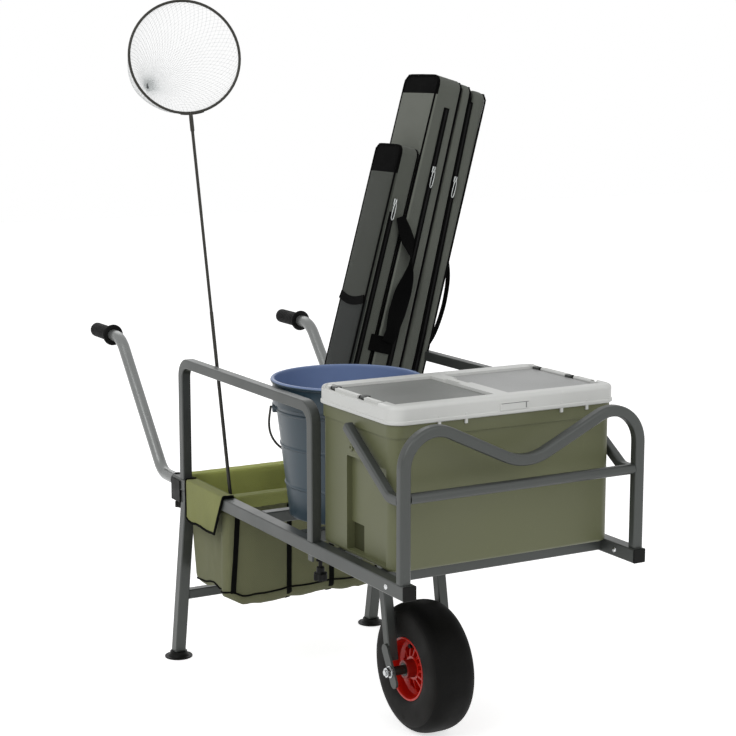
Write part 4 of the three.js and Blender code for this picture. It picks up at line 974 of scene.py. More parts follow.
def make_hatches():
    finishes = {side: hard_finish(f"{side} hatch plastic", colour, 0.46, 0, 0.03, 6.0, 0.00012, 1700.0, 0.05)
                for side, colour in (("right", colours().hatch_near), ("left", colours().hatch_far))}
    # The hinge arms and eyes are painted dark grey, as painted shade in the gaps between the lid's knuckles
    finger = hard_finish("hatch finger painted shade", tone("3a3c3a"), 0.5, 0, 0.03, 6.0, 0.0001, 1700.0, 0.05)
    for side, sign in SIDES:
        x0, x1 = sorted((sign * 16.8, sign * 231))
        plate = slab((x0, 103.8, lid_level(24)), (x1, 331.2, lid_level(31)), 5, 1.2, 4, 2)
        parts = [(plate, finishes[side])]
        for y in (209, 322):
            start, end = sorted((sign * 229, sign * HINGE_X))
            arm = soft_block((start, y - 7.8, lid_level(27)), (end, y + 7.8, lid_level(LID_LEVEL)), 0.8)
            eye = turned([(2.3, -7.8), (4.5, -7.8), (4.5, 7.8), (2.3, 7.8)], 20,
                         rearward(sign * HINGE_X, y, lid_level(HINGE_LEVEL)), closed=True)
            parts += [(arm, finger), (eye, finger)]
        make_piece(f"hatch_plate_{side}", f"hatch_{side}", parts, [f"hatch_{side}"])


def make_latch():
    white = hard_finish("white lid plastic", colours().lid, 0.42)
    grey = hard_finish("grey latch line", tone("7e7f7e"), 0.5)
    plate = soft_block((-21, 72.6, lid_level(8)), (45, 75.4, lid_level(24)), 1.0, 3)
    line = soft_block((-19, 72.2, lid_level(21)), (43, 73.4, lid_level(22.4)), 0.4)
    mark = soft_block((36.5, 72.1, lid_level(10)), (39, 73.4, lid_level(21)), 0.4)
    make_piece("latch_plate", "cooler_latch", [(plate, white), (line, grey), (mark, grey)], ["cooler_latch"])


# Bucket


BUCKET = Matrix.Translation((-92.5, 543, DECK_SEAT))
EAR_TURN = math.radians(150.6)
EAR_LEVEL = 226


def bucket_radius(height):
    return 122 + 27 * height / 235


def make_bucket():
    outside = hard_finish("bucket blue", colours().bucket, 0.36, 0, 0.07, 7.0, 0.00003, 600.0, 0.1)
    # The inside and the rim's top take a much lighter copy of the bucket's blue, painted light; the outside
    # keeps the darker blue
    inside = hard_finish("bucket blue inside painted light", colours().bucket_inside_painted_light, 0.4, 0, 0.06, 7.0, 0.00003, 600.0,
                         0.05)
    profile = [(0, 4), (116, 4), (118, 0), (bucket_radius(2.5) - 0.5, 0.4), (bucket_radius(3.5), 3.5)]
    for height in (66, 150, 222):
        radius = bucket_radius(height)
        profile += [(radius, height - 1), (radius + 2.2, height + 1), (radius + 2.2, height + 4),
                    (radius + 0.4, height + 6)]
    profile += [(149, 234), (151, 236), (156, 237.5), (156, 282), (160, 283), (160.4, 287), (158.5, 290.4),
                (155, 291), (152, 289.5), (151, 283), (151, 242), (146.5, 233), (bucket_radius(8) - 2.5, 8),
                (112, 6.5), (0, 6.5)]
    body = turned(profile, 112, BUCKET, soften=0.7)
    for face in body.faces:
        centre = face.calc_center_median() - BUCKET.to_translation()
        outward = Vector((centre.x, centre.y, 0)).dot(face.normal) > 0
        # Outward faces below the rim keep the outside blue; inward faces and the rim's top take the painted
        # light
        face.material_index = 0 if (outward and centre.z < 288) or centre.z < 5 else 1
    parts = [(body, [outside, inside])]
    for turn in (0, math.pi):
        wall = across(bucket_radius(EAR_LEVEL) - 1.3, 0, EAR_LEVEL)
        place = BUCKET @ Matrix.Rotation(EAR_TURN + turn, 4, "Z") @ wall
        cup = [(0, 0), (12, 0), (12, 8), (10.5, 10), (3.4, 10), (3.4, 3), (0, 3)]
        ear = turned(cup, 32, place, soften=0.5)
        parts.append((ear, outside))
    make_piece("bucket_shell", "bucket", parts, ["bucket"])


def make_bail():
    reach, bulge, depth, squareness = 160.0, 22, 206, 0.85
    points = []
    for i in range(49):
        angle = math.pi * i / 48
        run = math.cos(angle)
        sideways = math.copysign(abs(run) ** squareness, run) * reach + bulge * math.sin(2 * angle)
        points.append(Vector((sideways, 0, -depth * math.sin(angle) ** squareness)))
    hanging = (BUCKET @ Matrix.Translation((0, 0, EAR_LEVEL)) @ Matrix.Rotation(EAR_TURN + math.pi, 4, "Z")
               @ Matrix.Rotation(math.radians(90 - 47), 4, "X"))
    loop = wire([hanging @ p for p in points], 2.5, (0, 0, 1), 2, 12)
    parts = [(loop, dark_metal())]
    for sign in (-1, 1):
        ends = [hanging @ Vector((sign * x, 0, 0)) for x in (153, 162)]
        pin = wire(ends, 2.5, (0, 0, 1), 2, 12)
        parts.append((pin, dark_metal()))
    make_piece("bail_wire", "bail", parts, ["bail"])


# Rod cases, in their own leaning axes: t across, y to the rear, s up along the case


CASE_LEAN = math.radians(15.4)
CASE = Matrix.Rotation(CASE_LEAN, 4, "Y")
CASE_FRONT = 798.5


def fanned(t, s, low_t):
    """How far a seam's place moves across from its low place to its top."""
    rise = min(max((s - 760) / 600, 0), 1)
    return low_t + (t - low_t) * rise


def padded_slab(t_low, t_top, y0, y1, s0, s1, corner=23, edge=7, crown=3.0):
    """One padded compartment: a tall soft block whose sides swell between its edges."""
    bm = block((t_low[0], y0, s0), (t_low[1], y1, s1))
    long_edges = edges_by(bm, lambda a, b: abs(a.x - b.x) > 0.01)
    round_off(bm, long_edges, corner, 6)
    rims = [e for e in bm.edges if len({round(v.co.x, 2) for v in e.verts}) == 1
            and any(abs(f.normal.x) > 0.9 for f in e.link_faces)]
    round_off(bm, rims, edge, 4)
    split(bm, 2, [s0 + (s1 - s0) * i / 24 for i in range(1, 24)])
    split(bm, 1, [y0 + (y1 - y0) * i / 8 for i in range(1, 8)])
    mid_t = (t_low[0] + t_low[1]) / 2
    half_t = (t_low[1] - t_low[0]) / 2
    for vert in bm.verts:
        across_y = 2 * (vert.co.y - y0) / (y1 - y0) - 1
        along_s = 2 * (vert.co.z - s0) / (s1 - s0) - 1
        puffed = (1 - across_y ** 4) * (1 - along_s ** 12)
        share = (vert.co.x - mid_t) / half_t
        vert.co.x -= share * crown * (1 - puffed)
        wave = 0.6 * math.sin(vert.co.z * 0.031 + t_low[0]) * math.cos(vert.co.z * 0.012)
        if vert.co.y < y0 + 0.5:
            vert.co.y += wave * (1 - abs(share)) - 1.2 * (1 - share ** 4)
        ends = [fanned(top, vert.co.z, low) for low, top in zip(t_low, t_top)]
        vert.co.x += ends[0] + (share + 1) / 2 * (ends[1] - ends[0]) - (t_low[0] + (share + 1) * half_t)
    return bm


def edge_loop(t_low, t_top, y0, y1, s0, s1, corner):
    """Points round a case at one place across, for its piping."""
    points = []
    for cy, cs, start in ((y1 - corner, s1 - corner, 0), (y0 + corner, s1 - corner, 90),
                          (y0 + corner, s0 + corner, 180), (y1 - corner, s0 + corner, 270)):
        for i in range(4):
            angle = math.radians(start + 30 * i)
            s = cs + corner * math.sin(angle)
            points.append(Vector((fanned(t_top, s, t_low), cy + corner * math.cos(angle), s)))
    dense = []
    for a, b in zip(points, points[1:] + points[:1]):
        steps = max(1, int((b - a).length / 90))
        for k in range(steps):
            p = a.lerp(b, k / steps)
            p.x = fanned(t_top, p.z, t_low)
            dense.append(p)
    return dense


def in_case(bm):
    bmesh.ops.transform(bm, matrix=CASE, verts=bm.verts)
    return bm


def front_strip(t_low, t_top, s0, s1, width, y, thick=1.6):
    points = [Vector((fanned(t_top, s, t_low), y, s)) for s in [s0 + (s1 - s0) * i / 10 for i in range(11)]]
    return in_case(strap(points, width, thick, (0, -1, 0), 1))


def zip_parts(t_low, t_top, s0, s1, width, y, slider_s):
    """A zip on the front of a case: tapes, teeth, and a slider with its pull."""
    teeth = cloth_finish("zip teeth", tone("080808"), 0.0022, CASE_LEAN, 0.03, 0.0008, 0.45, 0.0, 0.1)
    tape = front_strip(t_low, t_top, s0, s1, width, y, 1.2)
    row = front_strip(t_low, t_top, s0 + 4, s1 - 4, width * 0.34, y - 0.8, 1.6)
    t = fanned(t_top, slider_s, t_low)
    slider = soft_block((t - 4.2, y - 4.6, slider_s - 2), (t + 4.2, y - 0.6, slider_s + 13), 1.4, 2)
    arch = [(t, y - out, slider_s + up) for out, up in ((3, -1), (7, 2), (7, 9), (3, 12))]
    bridge = wire(arch, 1.2, (1, 0, 0), 4, 8)
    loop = ((-1.6, 2), (1.6, 2), (3.2, -8), (3, -30), (0, -36), (-3, -30), (-3.2, -8))
    pull = wire([(t + dt, y - 6.6, slider_s + ds) for dt, ds in loop], 1.1, (0, 1, 0), 3, 8, True)
    metal = hard_finish("zip metal", tone("a4a7a6"), 0.3, 0.9, 0.1, 60.0, 0.00002, 800.0, 0.1)
    return [(tape, case_trim()), (row, teeth)] + [(in_case(part), metal) for part in (slider, bridge, pull)]


def capped(bm, level, t_limit):
    """Marks a compartment's right face, and the upper part of it as its cap."""
    split(bm, 2, [level])
    for face in bm.faces:
        centre = face.calc_center_median()
        face.material_index = (1 if centre.z > level else 2) if centre.x < t_limit else 0
    return bm


def piping(low, top, y0, y1, s0, s1, sink, corner=23, radius=2.2):
    line = edge_loop(low, top, y0 + sink, y1 - sink, s0 + sink, s1 - sink, corner)
    return in_case(wire(line, radius, (1, 0, 0), 2, 8, True))


CASE_RISE = 15


def make_tall_case():
    y0, y1 = CASE_FRONT, CASE_FRONT + 150
    s0, s1 = 231.04, 1369.04 + CASE_RISE
    cloth, trim = case_shade("case cloth", colours().case_cloth), case_trim()
    first = capped(padded_slab((-84, -2.5), (-84, -15), y0, y1, s0, s1), 1340, -74)
    second = padded_slab((-1.5, 33), (-14, 12), y0 + 1, y1 - 1, s0, s1 - 3)
    third = padded_slab((44, 63), (18, 56.5), y0 + 1, y1 - 1, s0, s1 - 8)
    filler = padded_slab((30, 48), (10, 22), y0 + 6, y1 - 6, s0 + 6, s1 - 16, crown=0)
    # The right face below the cap takes a lighter copy of the case cloth, painted light on the face that leans
    # to the light
    lit_end_cloth = case_shade("case end cloth", tone("6f726a"))
    parts = [(in_case(first), [cloth, trim, lit_end_cloth]), (in_case(second), cloth), (in_case(third), cloth),
             (in_case(filler), trim)]
    for low, top, drop in ((-81, -81, 0), (-3.5, -16, 1.5), (32, 11, 4), (60.5, 54, 9)):
        parts.append((piping(low, top, y0 + 1, y1 - 1, s0, s1 - drop, 1.8), trim))
    parts += zip_parts(-36, -45, 262, 1316, 14, y0 - 1.6, 1168)
    parts += zip_parts(38.5, 15, 262, 1346, 14, y0 + 2.2, 1160)
    case = make_piece("tall_rod_case", "tall_case", parts, ["tall_case"], CLOTH_SHARP)
    loop_points = [(56, 832, 1004), (72, 832, 985), (88, 834, 945), (94, 834, 893), (92, 834, 845),
                   (82, 832, 800), (62, 830, 762), (50, 828, 748)]
    sling = in_case(strap(loop_points, 15, 2.4, (1, 0, 0), 6))
    make_piece("tall_case_sling", "tall_case", [(sling, trim)])


def make_short_case():
    y0, y1 = CASE_FRONT, CASE_FRONT + 112
    s0, s1 = 194.05, 1193.05 + CASE_RISE
    t0, t1 = -139, -85
    body = padded_slab((t0, t1), (t0, t1), y0, y1, s0, s1, 19, 7, 2.5)
    split(body, 2, [850, 1143])
    for face in body.faces:
        centre = face.calc_center_median()
        right = centre.x < t0 + 9
        face.material_index = (1 if centre.z > 1143 else 2 if centre.z < 850 else 3) if right else 0
    # The right face's cloth is painted darker than the rest of the case as painted shade, and darker still
    # below the band
    dull = case_shade("short case cloth", tone("575a53"))
    shaded_end_cloth = case_shade("short case end cloth painted shade", tone("41443e"))
    low = case_shade("case cloth low painted shade", tone("2c2f2d"))
    parts = [(in_case(body), [dull, case_trim(), low, shaded_end_cloth])]
    for t in (t0 + 3, t1 - 3):
        parts.append((piping(t, t, y0, y1, s0, s1, 1.8, 19), case_trim()))
    parts += zip_parts(-121, -121, 240, 1056, 13, y0 - 1.6, 1074)
    band = [(t0 - 0.6, y0 + 2 + 108 * i / 8, 851 - 9 * math.sin(math.pi * i / 8)) for i in range(9)]
    parts.append((in_case(strap(band, 19, 1.8, (1, 0, 0), 3)), case_trim()))
    case = make_piece("short_rod_case", "short_case", parts, ["short_case"], CLOTH_SHARP)


def make_carry_strap():
    """The twisted carrying strap and its patch on the front of the cases."""
    # Each row holds the place across, the place along the case, the width and the twist in degrees.
    rows = [(-101, 1050, 20, 12), (-84, 1024, 30, 4), (-68, 1000, 36, -10), (-54, 973, 24, -48),
            (-49, 948, 22, -84), (-48, 921, 26, -130), (-52, 883, 40, -170), (-54, 836, 44, -180),
            (-54, 794, 32, -180), (-58, 768, 32, -180)]
    count = 6
    path = []
    for a, b in zip(rows, rows[1:]):
        for k in range(count):
            share = k / count
            path.append([x + (y - x) * share for x, y in zip(a, b)])
    path.append(list(rows[-1]))
    centres = [Vector((row[0], CASE_FRONT - 9 - 6 * math.sin(math.pi * i / (len(path) - 1)), row[1]))
               for i, row in enumerate(path)]
    stations = []
    for i, (centre, row) in enumerate(zip(centres, path)):
        before, after = centres[max(i - 1, 0)], centres[min(i + 1, len(centres) - 1)]
        base = station(centre, after - before, (0, -1, 0))
        twist = Matrix.Rotation(math.radians(row[3]), 4, "Z")
        stations.append(base @ twist @ Matrix.Diagonal((1, row[2] / 30, 1, 1)))
    bm = bmesh.new()
    band = sweep(bm, flat_outline(bm, 30, 2.2, stations[0]), stations)
    patch = soft_block((-100, CASE_FRONT - 4, 741), (-40, CASE_FRONT - 0.6, 779), 1.2)
    make_piece("carry_strap", "tall_case", [(in_case(band), case_trim()), (in_case(patch), case_trim())])


# Landing net


POLE_LEAN_X = -0.032662
POLE_LEAN_Y = 0.1455
POLE_FOOT = Vector((-221, 802.5, 211.882))
RING_RADIUS = 122.5
BOWL_DEPTH = 92
NET_LEAN = (0.8, 0.54)


def pole_at(height):
    rise = height - POLE_FOOT.z
    return Vector((POLE_FOOT.x + rise * POLE_LEAN_X, POLE_FOOT.y + rise * POLE_LEAN_Y, height))


NET = (Matrix.Translation(pole_at(1394)) @ Matrix.Rotation(math.atan(POLE_LEAN_X), 4, "Y")
       @ Matrix.Rotation(-math.atan(POLE_LEAN_Y), 4, "X") @ Matrix.Rotation(math.radians(-13), 4, "Z"))


def make_net_frame():
    turns = [2 * math.pi * i / 64 for i in range(64)]
    points = [NET @ Vector((RING_RADIUS * math.cos(turn), 0, RING_RADIUS * math.sin(turn))) for turn in turns]
    ring = wire(points, 3.0, (0, 1, 0), 1, 12, True)
    sleeve = [(0, -121), (3.2, -121), (4.4, -129), (4.6, -137), (4.6, -161), (4, -163), (0, -163)]
    ferrule = turned(sleeve, 28, NET, soften=0.4)
    arc = [NET @ Vector((123.5 * math.sin(a * 0.06), 0, -123.5 * math.cos(a * 0.06))) for a in range(-3, 5)]
    collar = wire(arc, 3.4, (0, 1, 0), 2, 12)
    parts = [(part, dark_metal()) for part in (ring, ferrule, collar)]
    make_piece("net_ring", "landing_net", parts, ["net_hoop"])
    length = (NET.to_translation() - POLE_FOOT).length
    profile = [(0, -136.8), (3.4, -136.8), (3.4, -560), (4, -562), (4, -length + 3), (3, -length + 0.5),
               (0, -length + 0.5)]
    pole = turned(profile, 20, NET, soften=0.3)
    make_piece("net_stick", "landing_net", [(pole, dark_metal())], ["net_pole"])


def make_net_mesh():
    """Diamond mesh of thin strands, in a bowl behind the ring that hangs lower than its middle."""
    white = hard_finish("white net strand", tone("eceeee"), 0.6, 0, 0.05, 30.0, 0.00005, 900.0, 0.0)
    bm = bmesh.new()
    rings = sizes().net_cells // 4
    bmesh.ops.create_uvsphere(bm, u_segments=sizes().net_cells, v_segments=2 * rings, radius=1)
    bmesh.ops.delete(bm, geom=[v for v in bm.verts if v.co.z < -0.01], context="VERTS")
    old = list(bm.edges)
    bmesh.ops.poke(bm, faces=[f for f in bm.faces if len(f.verts) == 4])
    inner = [e for e in old if e.is_valid and len(e.link_faces) == 2 and all(v.co.z < 0.985 for v in e.verts)]
    bmesh.ops.dissolve_edges(bm, edges=inner, use_verts=False)
    for vert in bm.verts:
        fold = 1 + 0.035 * math.sin(5 * math.atan2(vert.co.y, vert.co.x)) * vert.co.z
        out = Vector((vert.co.x, vert.co.y, 0)).normalized() * 120 * fold * (1 - vert.co.z ** 1.5)
        vert.co = Vector((out.x, out.y, vert.co.z * BOWL_DEPTH))
    bmesh.ops.rotate(bm, verts=bm.verts, cent=(0, 0, 0), matrix=Matrix.Rotation(-math.pi / 2, 3, "X"))
    for vert in bm.verts:
        vert.co.x -= NET_LEAN[0] * vert.co.y
        vert.co.z -= NET_LEAN[1] * vert.co.y
        vert.co.y += 2.5
    bmesh.ops.wireframe(bm, faces=bm.faces, thickness=mm(sizes().strand), use_replace=True, use_boundary=True,
                        use_even_offset=False, use_crease=False)
    bmesh.ops.transform(bm, matrix=NET, verts=bm.verts)
    tip = Vector((-NET_LEAN[0] * BOWL_DEPTH, BOWL_DEPTH + 2, -NET_LEAN[1] * BOWL_DEPTH))
    knot = [(0, -9), (2.6, -8), (3.4, -2), (2.2, 3), (3.6, 8), (2, 11), (0, 11)]
    knot = turned(knot, 16, NET @ Matrix.Translation(tip))
    grey = hard_finish("grey net knot", tone("55585a"), 0.7, 0, 0.1, 60.0, 0.0002, 600.0, 0.0)
    parts = [(bm, white), (knot, grey)]
    make_piece("net_mesh_bag", "landing_net", parts, ["net_bag"], weighted=False)


# Cloth bag between the rails


BAG_X = 246.2
BAG_FRONT = 795.2
BAG_REAR = 1021.8
BAG_REAR_FOOT = 986
BAG_FOOT = 190
BAG_STRAPS = (-228, -103, 2, 118, 228)
FLAP_FRONT = 771
FLAP_LENGTH = 199


def ripple(a, b, seed):
    """Uneven soft folds of cloth, between about -1 and 1."""
    broad = perlin.noise(Vector((a * 0.011, b * 0.011, seed)))
    fine = 1 - 2 * abs(perlin.noise(Vector((a * 0.028, b * 0.02, seed + 7.3))))
    return 1.2 * broad + 0.5 * fine


def ease(low, high, value):
    share = min(max((value - low) / (high - low), 0), 1)
    return share * share * (3 - 2 * share)


def bag_surface(u, v, w):
    """A point of the sack for its place across and along, from -1 to 1, and up, from 0 to 1."""
    ring = max(abs(u), abs(v), 0.0001)
    depth = DECK + 1.6 - BAG_FOOT
    z = BAG_FOOT + w * depth
    below = 1 - ease(405, 414, z)
    front = BAG_FRONT - below * 4
    rear = BAG_REAR_FOOT + (BAG_REAR - BAG_REAR_FOOT) * w
    half_y = (rear - front) / 2
    # Each end has a pleat: the cloth in front of it stands out, and behind it the end is drawn in.
    pleat = ease(812, 836, (front + rear) / 2 + v * half_y)
    half_x = BAG_X + below * (15 - 11 * pleat * ease(0.02, 0.3, 1 - w))
    corner = 8 + below * (4 + 12 * (1 - ease(0, 0.6, v)))
    edge = Vector((u / ring * half_x, v / ring * half_y, 0))
    core_x = max(min(edge.x, half_x - corner), corner - half_x)
    core_y = max(min(edge.y, half_y - corner), corner - half_y)
    core = Vector((core_x, core_y, 0))
    out = edge - core
    rounded = core + out.normalized() * corner if min(abs(out.x), abs(out.y)) > 0.001 else edge
    point = rounded * ring
    # The foot's edge is round, and rounder on the sides than at the front.
    round_edge = 30 - 12 * abs(u / ring) ** 5
    outward = rounded.normalized()
    wall = ring > 0.9999
    run = w * depth if wall else -(1 - ring) * rounded.length
    if abs(run) < round_edge:
        turn = math.radians(45 + 45 * run / round_edge)
        inset, rise = round_edge * (1 - math.sin(turn)), round_edge * (1 - math.cos(turn))
        point = (point if wall else rounded) - outward * inset
        z = BAG_FOOT + rise
    hang = 4 * w * (1 - w) if wall else 0
    near_strap = min(abs(point.x - x) for x in BAG_STRAPS)
    pillow = ease(0, 38, near_strap)
    if wall and v < -0.999:
        point.y -= hang * (5.5 * pillow - 2 + 2.2 * ripple(point.x, z * 0.6, 2.0)) * below
    elif wall and abs(u) > 0.999:
        point.x += math.copysign(below * (2.4 * ripple(point.y * 1.6, z * 0.5, 1.0) - 2), u)
    elif wall:
        point.y += hang * (5 + 3 * ripple(point.x, z * 0.6, 4.0))
    depth_y = point.y + (front + rear) / 2
    behind = ease(800, 880, depth_y) * (25 - 14 * ease(880, 960, depth_y))
    z += (1 - w) * max(18 * ease(216, 252, abs(point.x)), behind)
    low = 1 - ease(0, 60, z - BAG_FOOT)
    z -= low * (pillow * 2.5 + 3.2 * ripple(point.x * 1.3, point.y * 1.3, 3.0))
    return Vector((point.x, point.y + (front + rear) / 2, z))


def make_bag_body():
    """The sack: a fine grid on five sides, hung from the rails and full at the foot, with soft folds."""
    bm = block((-1, -1, 0), (1, 1, 1))
    bmesh.ops.delete(bm, geom=[f for f in bm.faces if f.normal.z > 0.9], context="FACES_ONLY")
    split(bm, 0, [-1 + 2 * i / 64 for i in range(1, 64)])
    split(bm, 1, [-1 + 2 * i / 32 for i in range(1, 32)])
    split(bm, 2, [i / 30 for i in range(1, 30)])
    for vert in bm.verts:
        vert.co = bag_surface(*vert.co)
    bmesh.ops.recalc_face_normals(bm, faces=bm.faces)
    inner_from = len(bm.faces)
    bmesh.ops.solidify(bm, geom=bm.faces, thickness=1.8)
    bm.faces.ensure_lookup_table()
    outer = set(bm.faces[:inner_from])
    for face in bm.faces:
        face.material_index = 0 if face in outer else 1
    return bm


def hem(y_front, y_rear, front_drop, rear_drop):
    """A hem of cloth folded over a cross tube, from side to side of the bag."""
    top = DECK + 1.5
    low = [(y_front - 0.05 * front_drop, top - front_drop), (y_front, top - 3), (y_front + 2.5, top),
           (y_rear - 2.5, top), (y_rear, top - 3), (y_rear, top - rear_drop)]
    bm = bmesh.new()
    edges = open_line(bm, [(-BAG_X + 0.5, y, z) for y, z in low])[1]
    bmesh.ops.subdivide_edges(bm, edges=edges, cuts=4)
    steps = 60
    drawn_out(bm, list(bm.edges), (2 * (BAG_X - 0.5) / steps, 0, 0), steps)
    middle = (y_front + y_rear) / 2
    for vert in bm.verts:
        drop = top - vert.co.z
        if drop > 4:
            longest = front_drop if vert.co.y < middle else rear_drop
            free = ease(8, 60, drop) * ease(30, 60, longest)
            vert.co.z -= 3.5 * drop / longest * ripple(vert.co.x * 1.2, 0, 4.0)
            inward = 1 if vert.co.y < middle else -1
            vert.co.y += inward * free * min(0, 3.0 * ripple(vert.co.x * 1.6, vert.co.z * 0.5, 5.0) - 1.5)
        else:
            vert.co.z += 0.5 * ripple(vert.co.x * 3, vert.co.y * 3, 6.0) + 0.3
    bmesh.ops.recalc_face_normals(bm, faces=bm.faces)
    bmesh.ops.solidify(bm, geom=bm.faces, thickness=1.2)
    return bm


def flap_grid(sign):
    """The flap over a rail: up from the bag, over the tube and down outside, a little wavy."""
    top = DECK + 1.7
    outer = RAIL_FACE + 1.4
    across_points = [(BAG_X - 3, 421), (BAG_X - 3, top - 6), (BAG_X + 1, top), (outer - 5, top + 0.4),
                     (outer - 1, top - 1), (outer + 0.6, top - 7), (outer + 0.8, 400), (outer + 0.9, 357)]
    line = eased([(sign * x, FLAP_FRONT, z) for x, z in across_points], 5)
    bm = bmesh.new()
    edges = open_line(bm, line)[1]
    steps = 44
    drawn_out(bm, edges, (0, FLAP_LENGTH / steps, 0), steps)
    for vert in bm.verts:
        y = vert.co.y
        outside = abs(vert.co.x) > RAIL_FACE
        if outside and vert.co.z < top - 5:
            fall = (top - vert.co.z) / 88
            corner = max(0, (y - 948) / 22) ** 2
            vert.co.z += corner * 6 * fall - 1.5 * fall * ripple(y * 1.4, 0, 8.0)
            vert.co.y += fall * (42 * (1 - ease(FLAP_FRONT, 960, y)) - 5 * ease(900, 970, y))
            vert.co.x += sign * fall * (1.4 + 1.9 * ripple(y * 1.8, vert.co.z * 0.7, 5.0))
        elif abs(vert.co.x) > BAG_X + 1:
            vert.co.z += 1.4 + 1.5 * ripple(y * 3, vert.co.x * 4, 6.0)
    bmesh.ops.recalc_face_normals(bm, faces=bm.faces)
    return bm


def flap_edge(bm):
    """Points along the front, lower and rear edges of a flap outside its rail."""
    outside = [v for v in bm.verts if v.is_boundary and abs(v.co.x) > BAG_X + 1.5]
    low = sorted((v.co.copy() for v in outside if v.co.z < 372), key=lambda p: p.y)
    sides = [v.co.copy() for v in outside if v.co.z >= 372]
    around = lambda p: abs(p.x) if p.z > DECK - 3 else 1000 - p.z
    front = sorted((p for p in sides if p.y < 850), key=around)
    rear = sorted((p for p in sides if p.y > 850), key=around, reverse=True)
    return front + low + rear


def make_flaps():
    parts = []
    for _, sign in SIDES:
        sheet = flap_grid(sign)
        edge = flap_edge(sheet)
        bmesh.ops.solidify(sheet, geom=sheet.faces, thickness=1.5)
        parts.append((sheet, flap_cloth()))
        parts.append((wire(edge, 2.9, (1, 0, 0), 1, 8), webbing()))
    return parts


def on_bag(u, v, w, out=1.4):
    """A point just outside the sack's skin."""
    here = bag_surface(u, v, w)
    middle = Vector((0, 890, 330))
    across_u = bag_surface(u + 0.01 if u < 0.98 else u - 0.01, v, w) - here
    along = bag_surface(u, v + (0.01 if v < 0.98 else -0.01), w) - here
    up = bag_surface(u, v, min(w + 0.01, 1)) - here
    upright = w > 0.001
    if upright and abs(v) > 0.999:
        normal = across_u.cross(up).normalized()
    elif upright and abs(u) > 0.999:
        normal = along.cross(up).normalized()
    else:
        normal = across_u.cross(along).normalized()
    if normal.dot(here - middle) < 0:
        normal.negate()
    return here + normal * out, normal


def skin_strap(places, width, thickness):
    """A strap that lies on the sack's skin."""
    points, normals = zip(*(on_bag(*place, thickness * 0.4) for place in places))
    bm = bmesh.new()
    path = []
    for i, here in enumerate(points):
        after = points[min(i + 1, len(points) - 1)] - points[max(i - 1, 0)]
        path.append(station(here, after, normals[i]))
    return sweep(bm, flat_outline(bm, width, thickness, path[0]), path)


def bag_straps():
    """Webbing down the bag's front, its inner straps on under the bag, and piping above its foot."""
    parts = []
    for x in BAG_STRAPS:
        u = x / (BAG_X + 14)
        splay = 0.085 * u * abs(u)
        places = [(u + splay * i / 22, -1, 0.97 - 0.95 * i / 22) for i in range(22)]
        if abs(x) < 200:
            places += [(u + splay, -1 + 1.7 * i / 16, 0) for i in range(1, 16)]
        parts.append((skin_strap(places, 12, 1.8), webbing()))
    level = 0.07
    points = [on_bag(-1, 0.97 - 1.97 * i / 20, 0.02 + (level - 0.02) * i / 20, 0.8)[0] for i in range(20)]
    points += [on_bag(-1 + 2 * i / 40, -1, level + 0.05 * math.sin(math.pi * i / 40), 0.8)[0]
               for i in range(1, 40)]
    points += [on_bag(1, -0.97 + 1.94 * i / 20, level - (level - 0.02) * i / 20, 0.8)[0] for i in range(21)]
    parts.append((wire(points, 2.1, (0, 0, 1), 2, 8), webbing()))
    return parts


def make_bag():
    # The inside takes the flaps' cloth painted darker, as painted shade inside the bag
    lining = cloth_finish("bag lining painted shade", tone("787d48"), sizes().bag_weave, 0.0, 0.1, 0.0006)
    parts = [(make_bag_body(), [bag_cloth(), lining])]
    # The rear hem's cloth is painted much lighter than the flaps', as painted light on the top of the bag's
    # rear wall
    # Each hem's front and rear edge, and how far it hangs at the front and at the rear.
    for end, code, reach in (("front", "8b9052", (768, 799, 25, 40)),
                             ("rear", "c3ca70", (1015.5, 1049, 60, 30))):
        cloth = cloth_finish(f"bag {end} hem cloth", tone(code), sizes().bag_weave, 0.0, 0.15, 0.0008)
        parts.append((hem(*reach), cloth))
    parts += make_flaps()
    parts += bag_straps()
    bag = make_piece("cloth_bag", "frame", parts, ["bag"], CLOTH_SHARP, weighted=False)


# Stage


CAMERA_PLACE = (-1.87086, -3.45775, 1.3705)
CAMERA_TURN = (math.radians(80.46), 0, math.radians(-29.44))
CAMERA_LENS = 87.353
LAMP_SIZE = 2.6
LAMPS = (("key light", (-3.7, -2.0, 3.9), (0, 0, 0.6), 80),
         ("front light", (0.6, -4.4, 2.6), (0, 0, 0.5), 30),
         ("back light", (0.6, 3.8, 3.2), (0, 0, 0.6), 26))


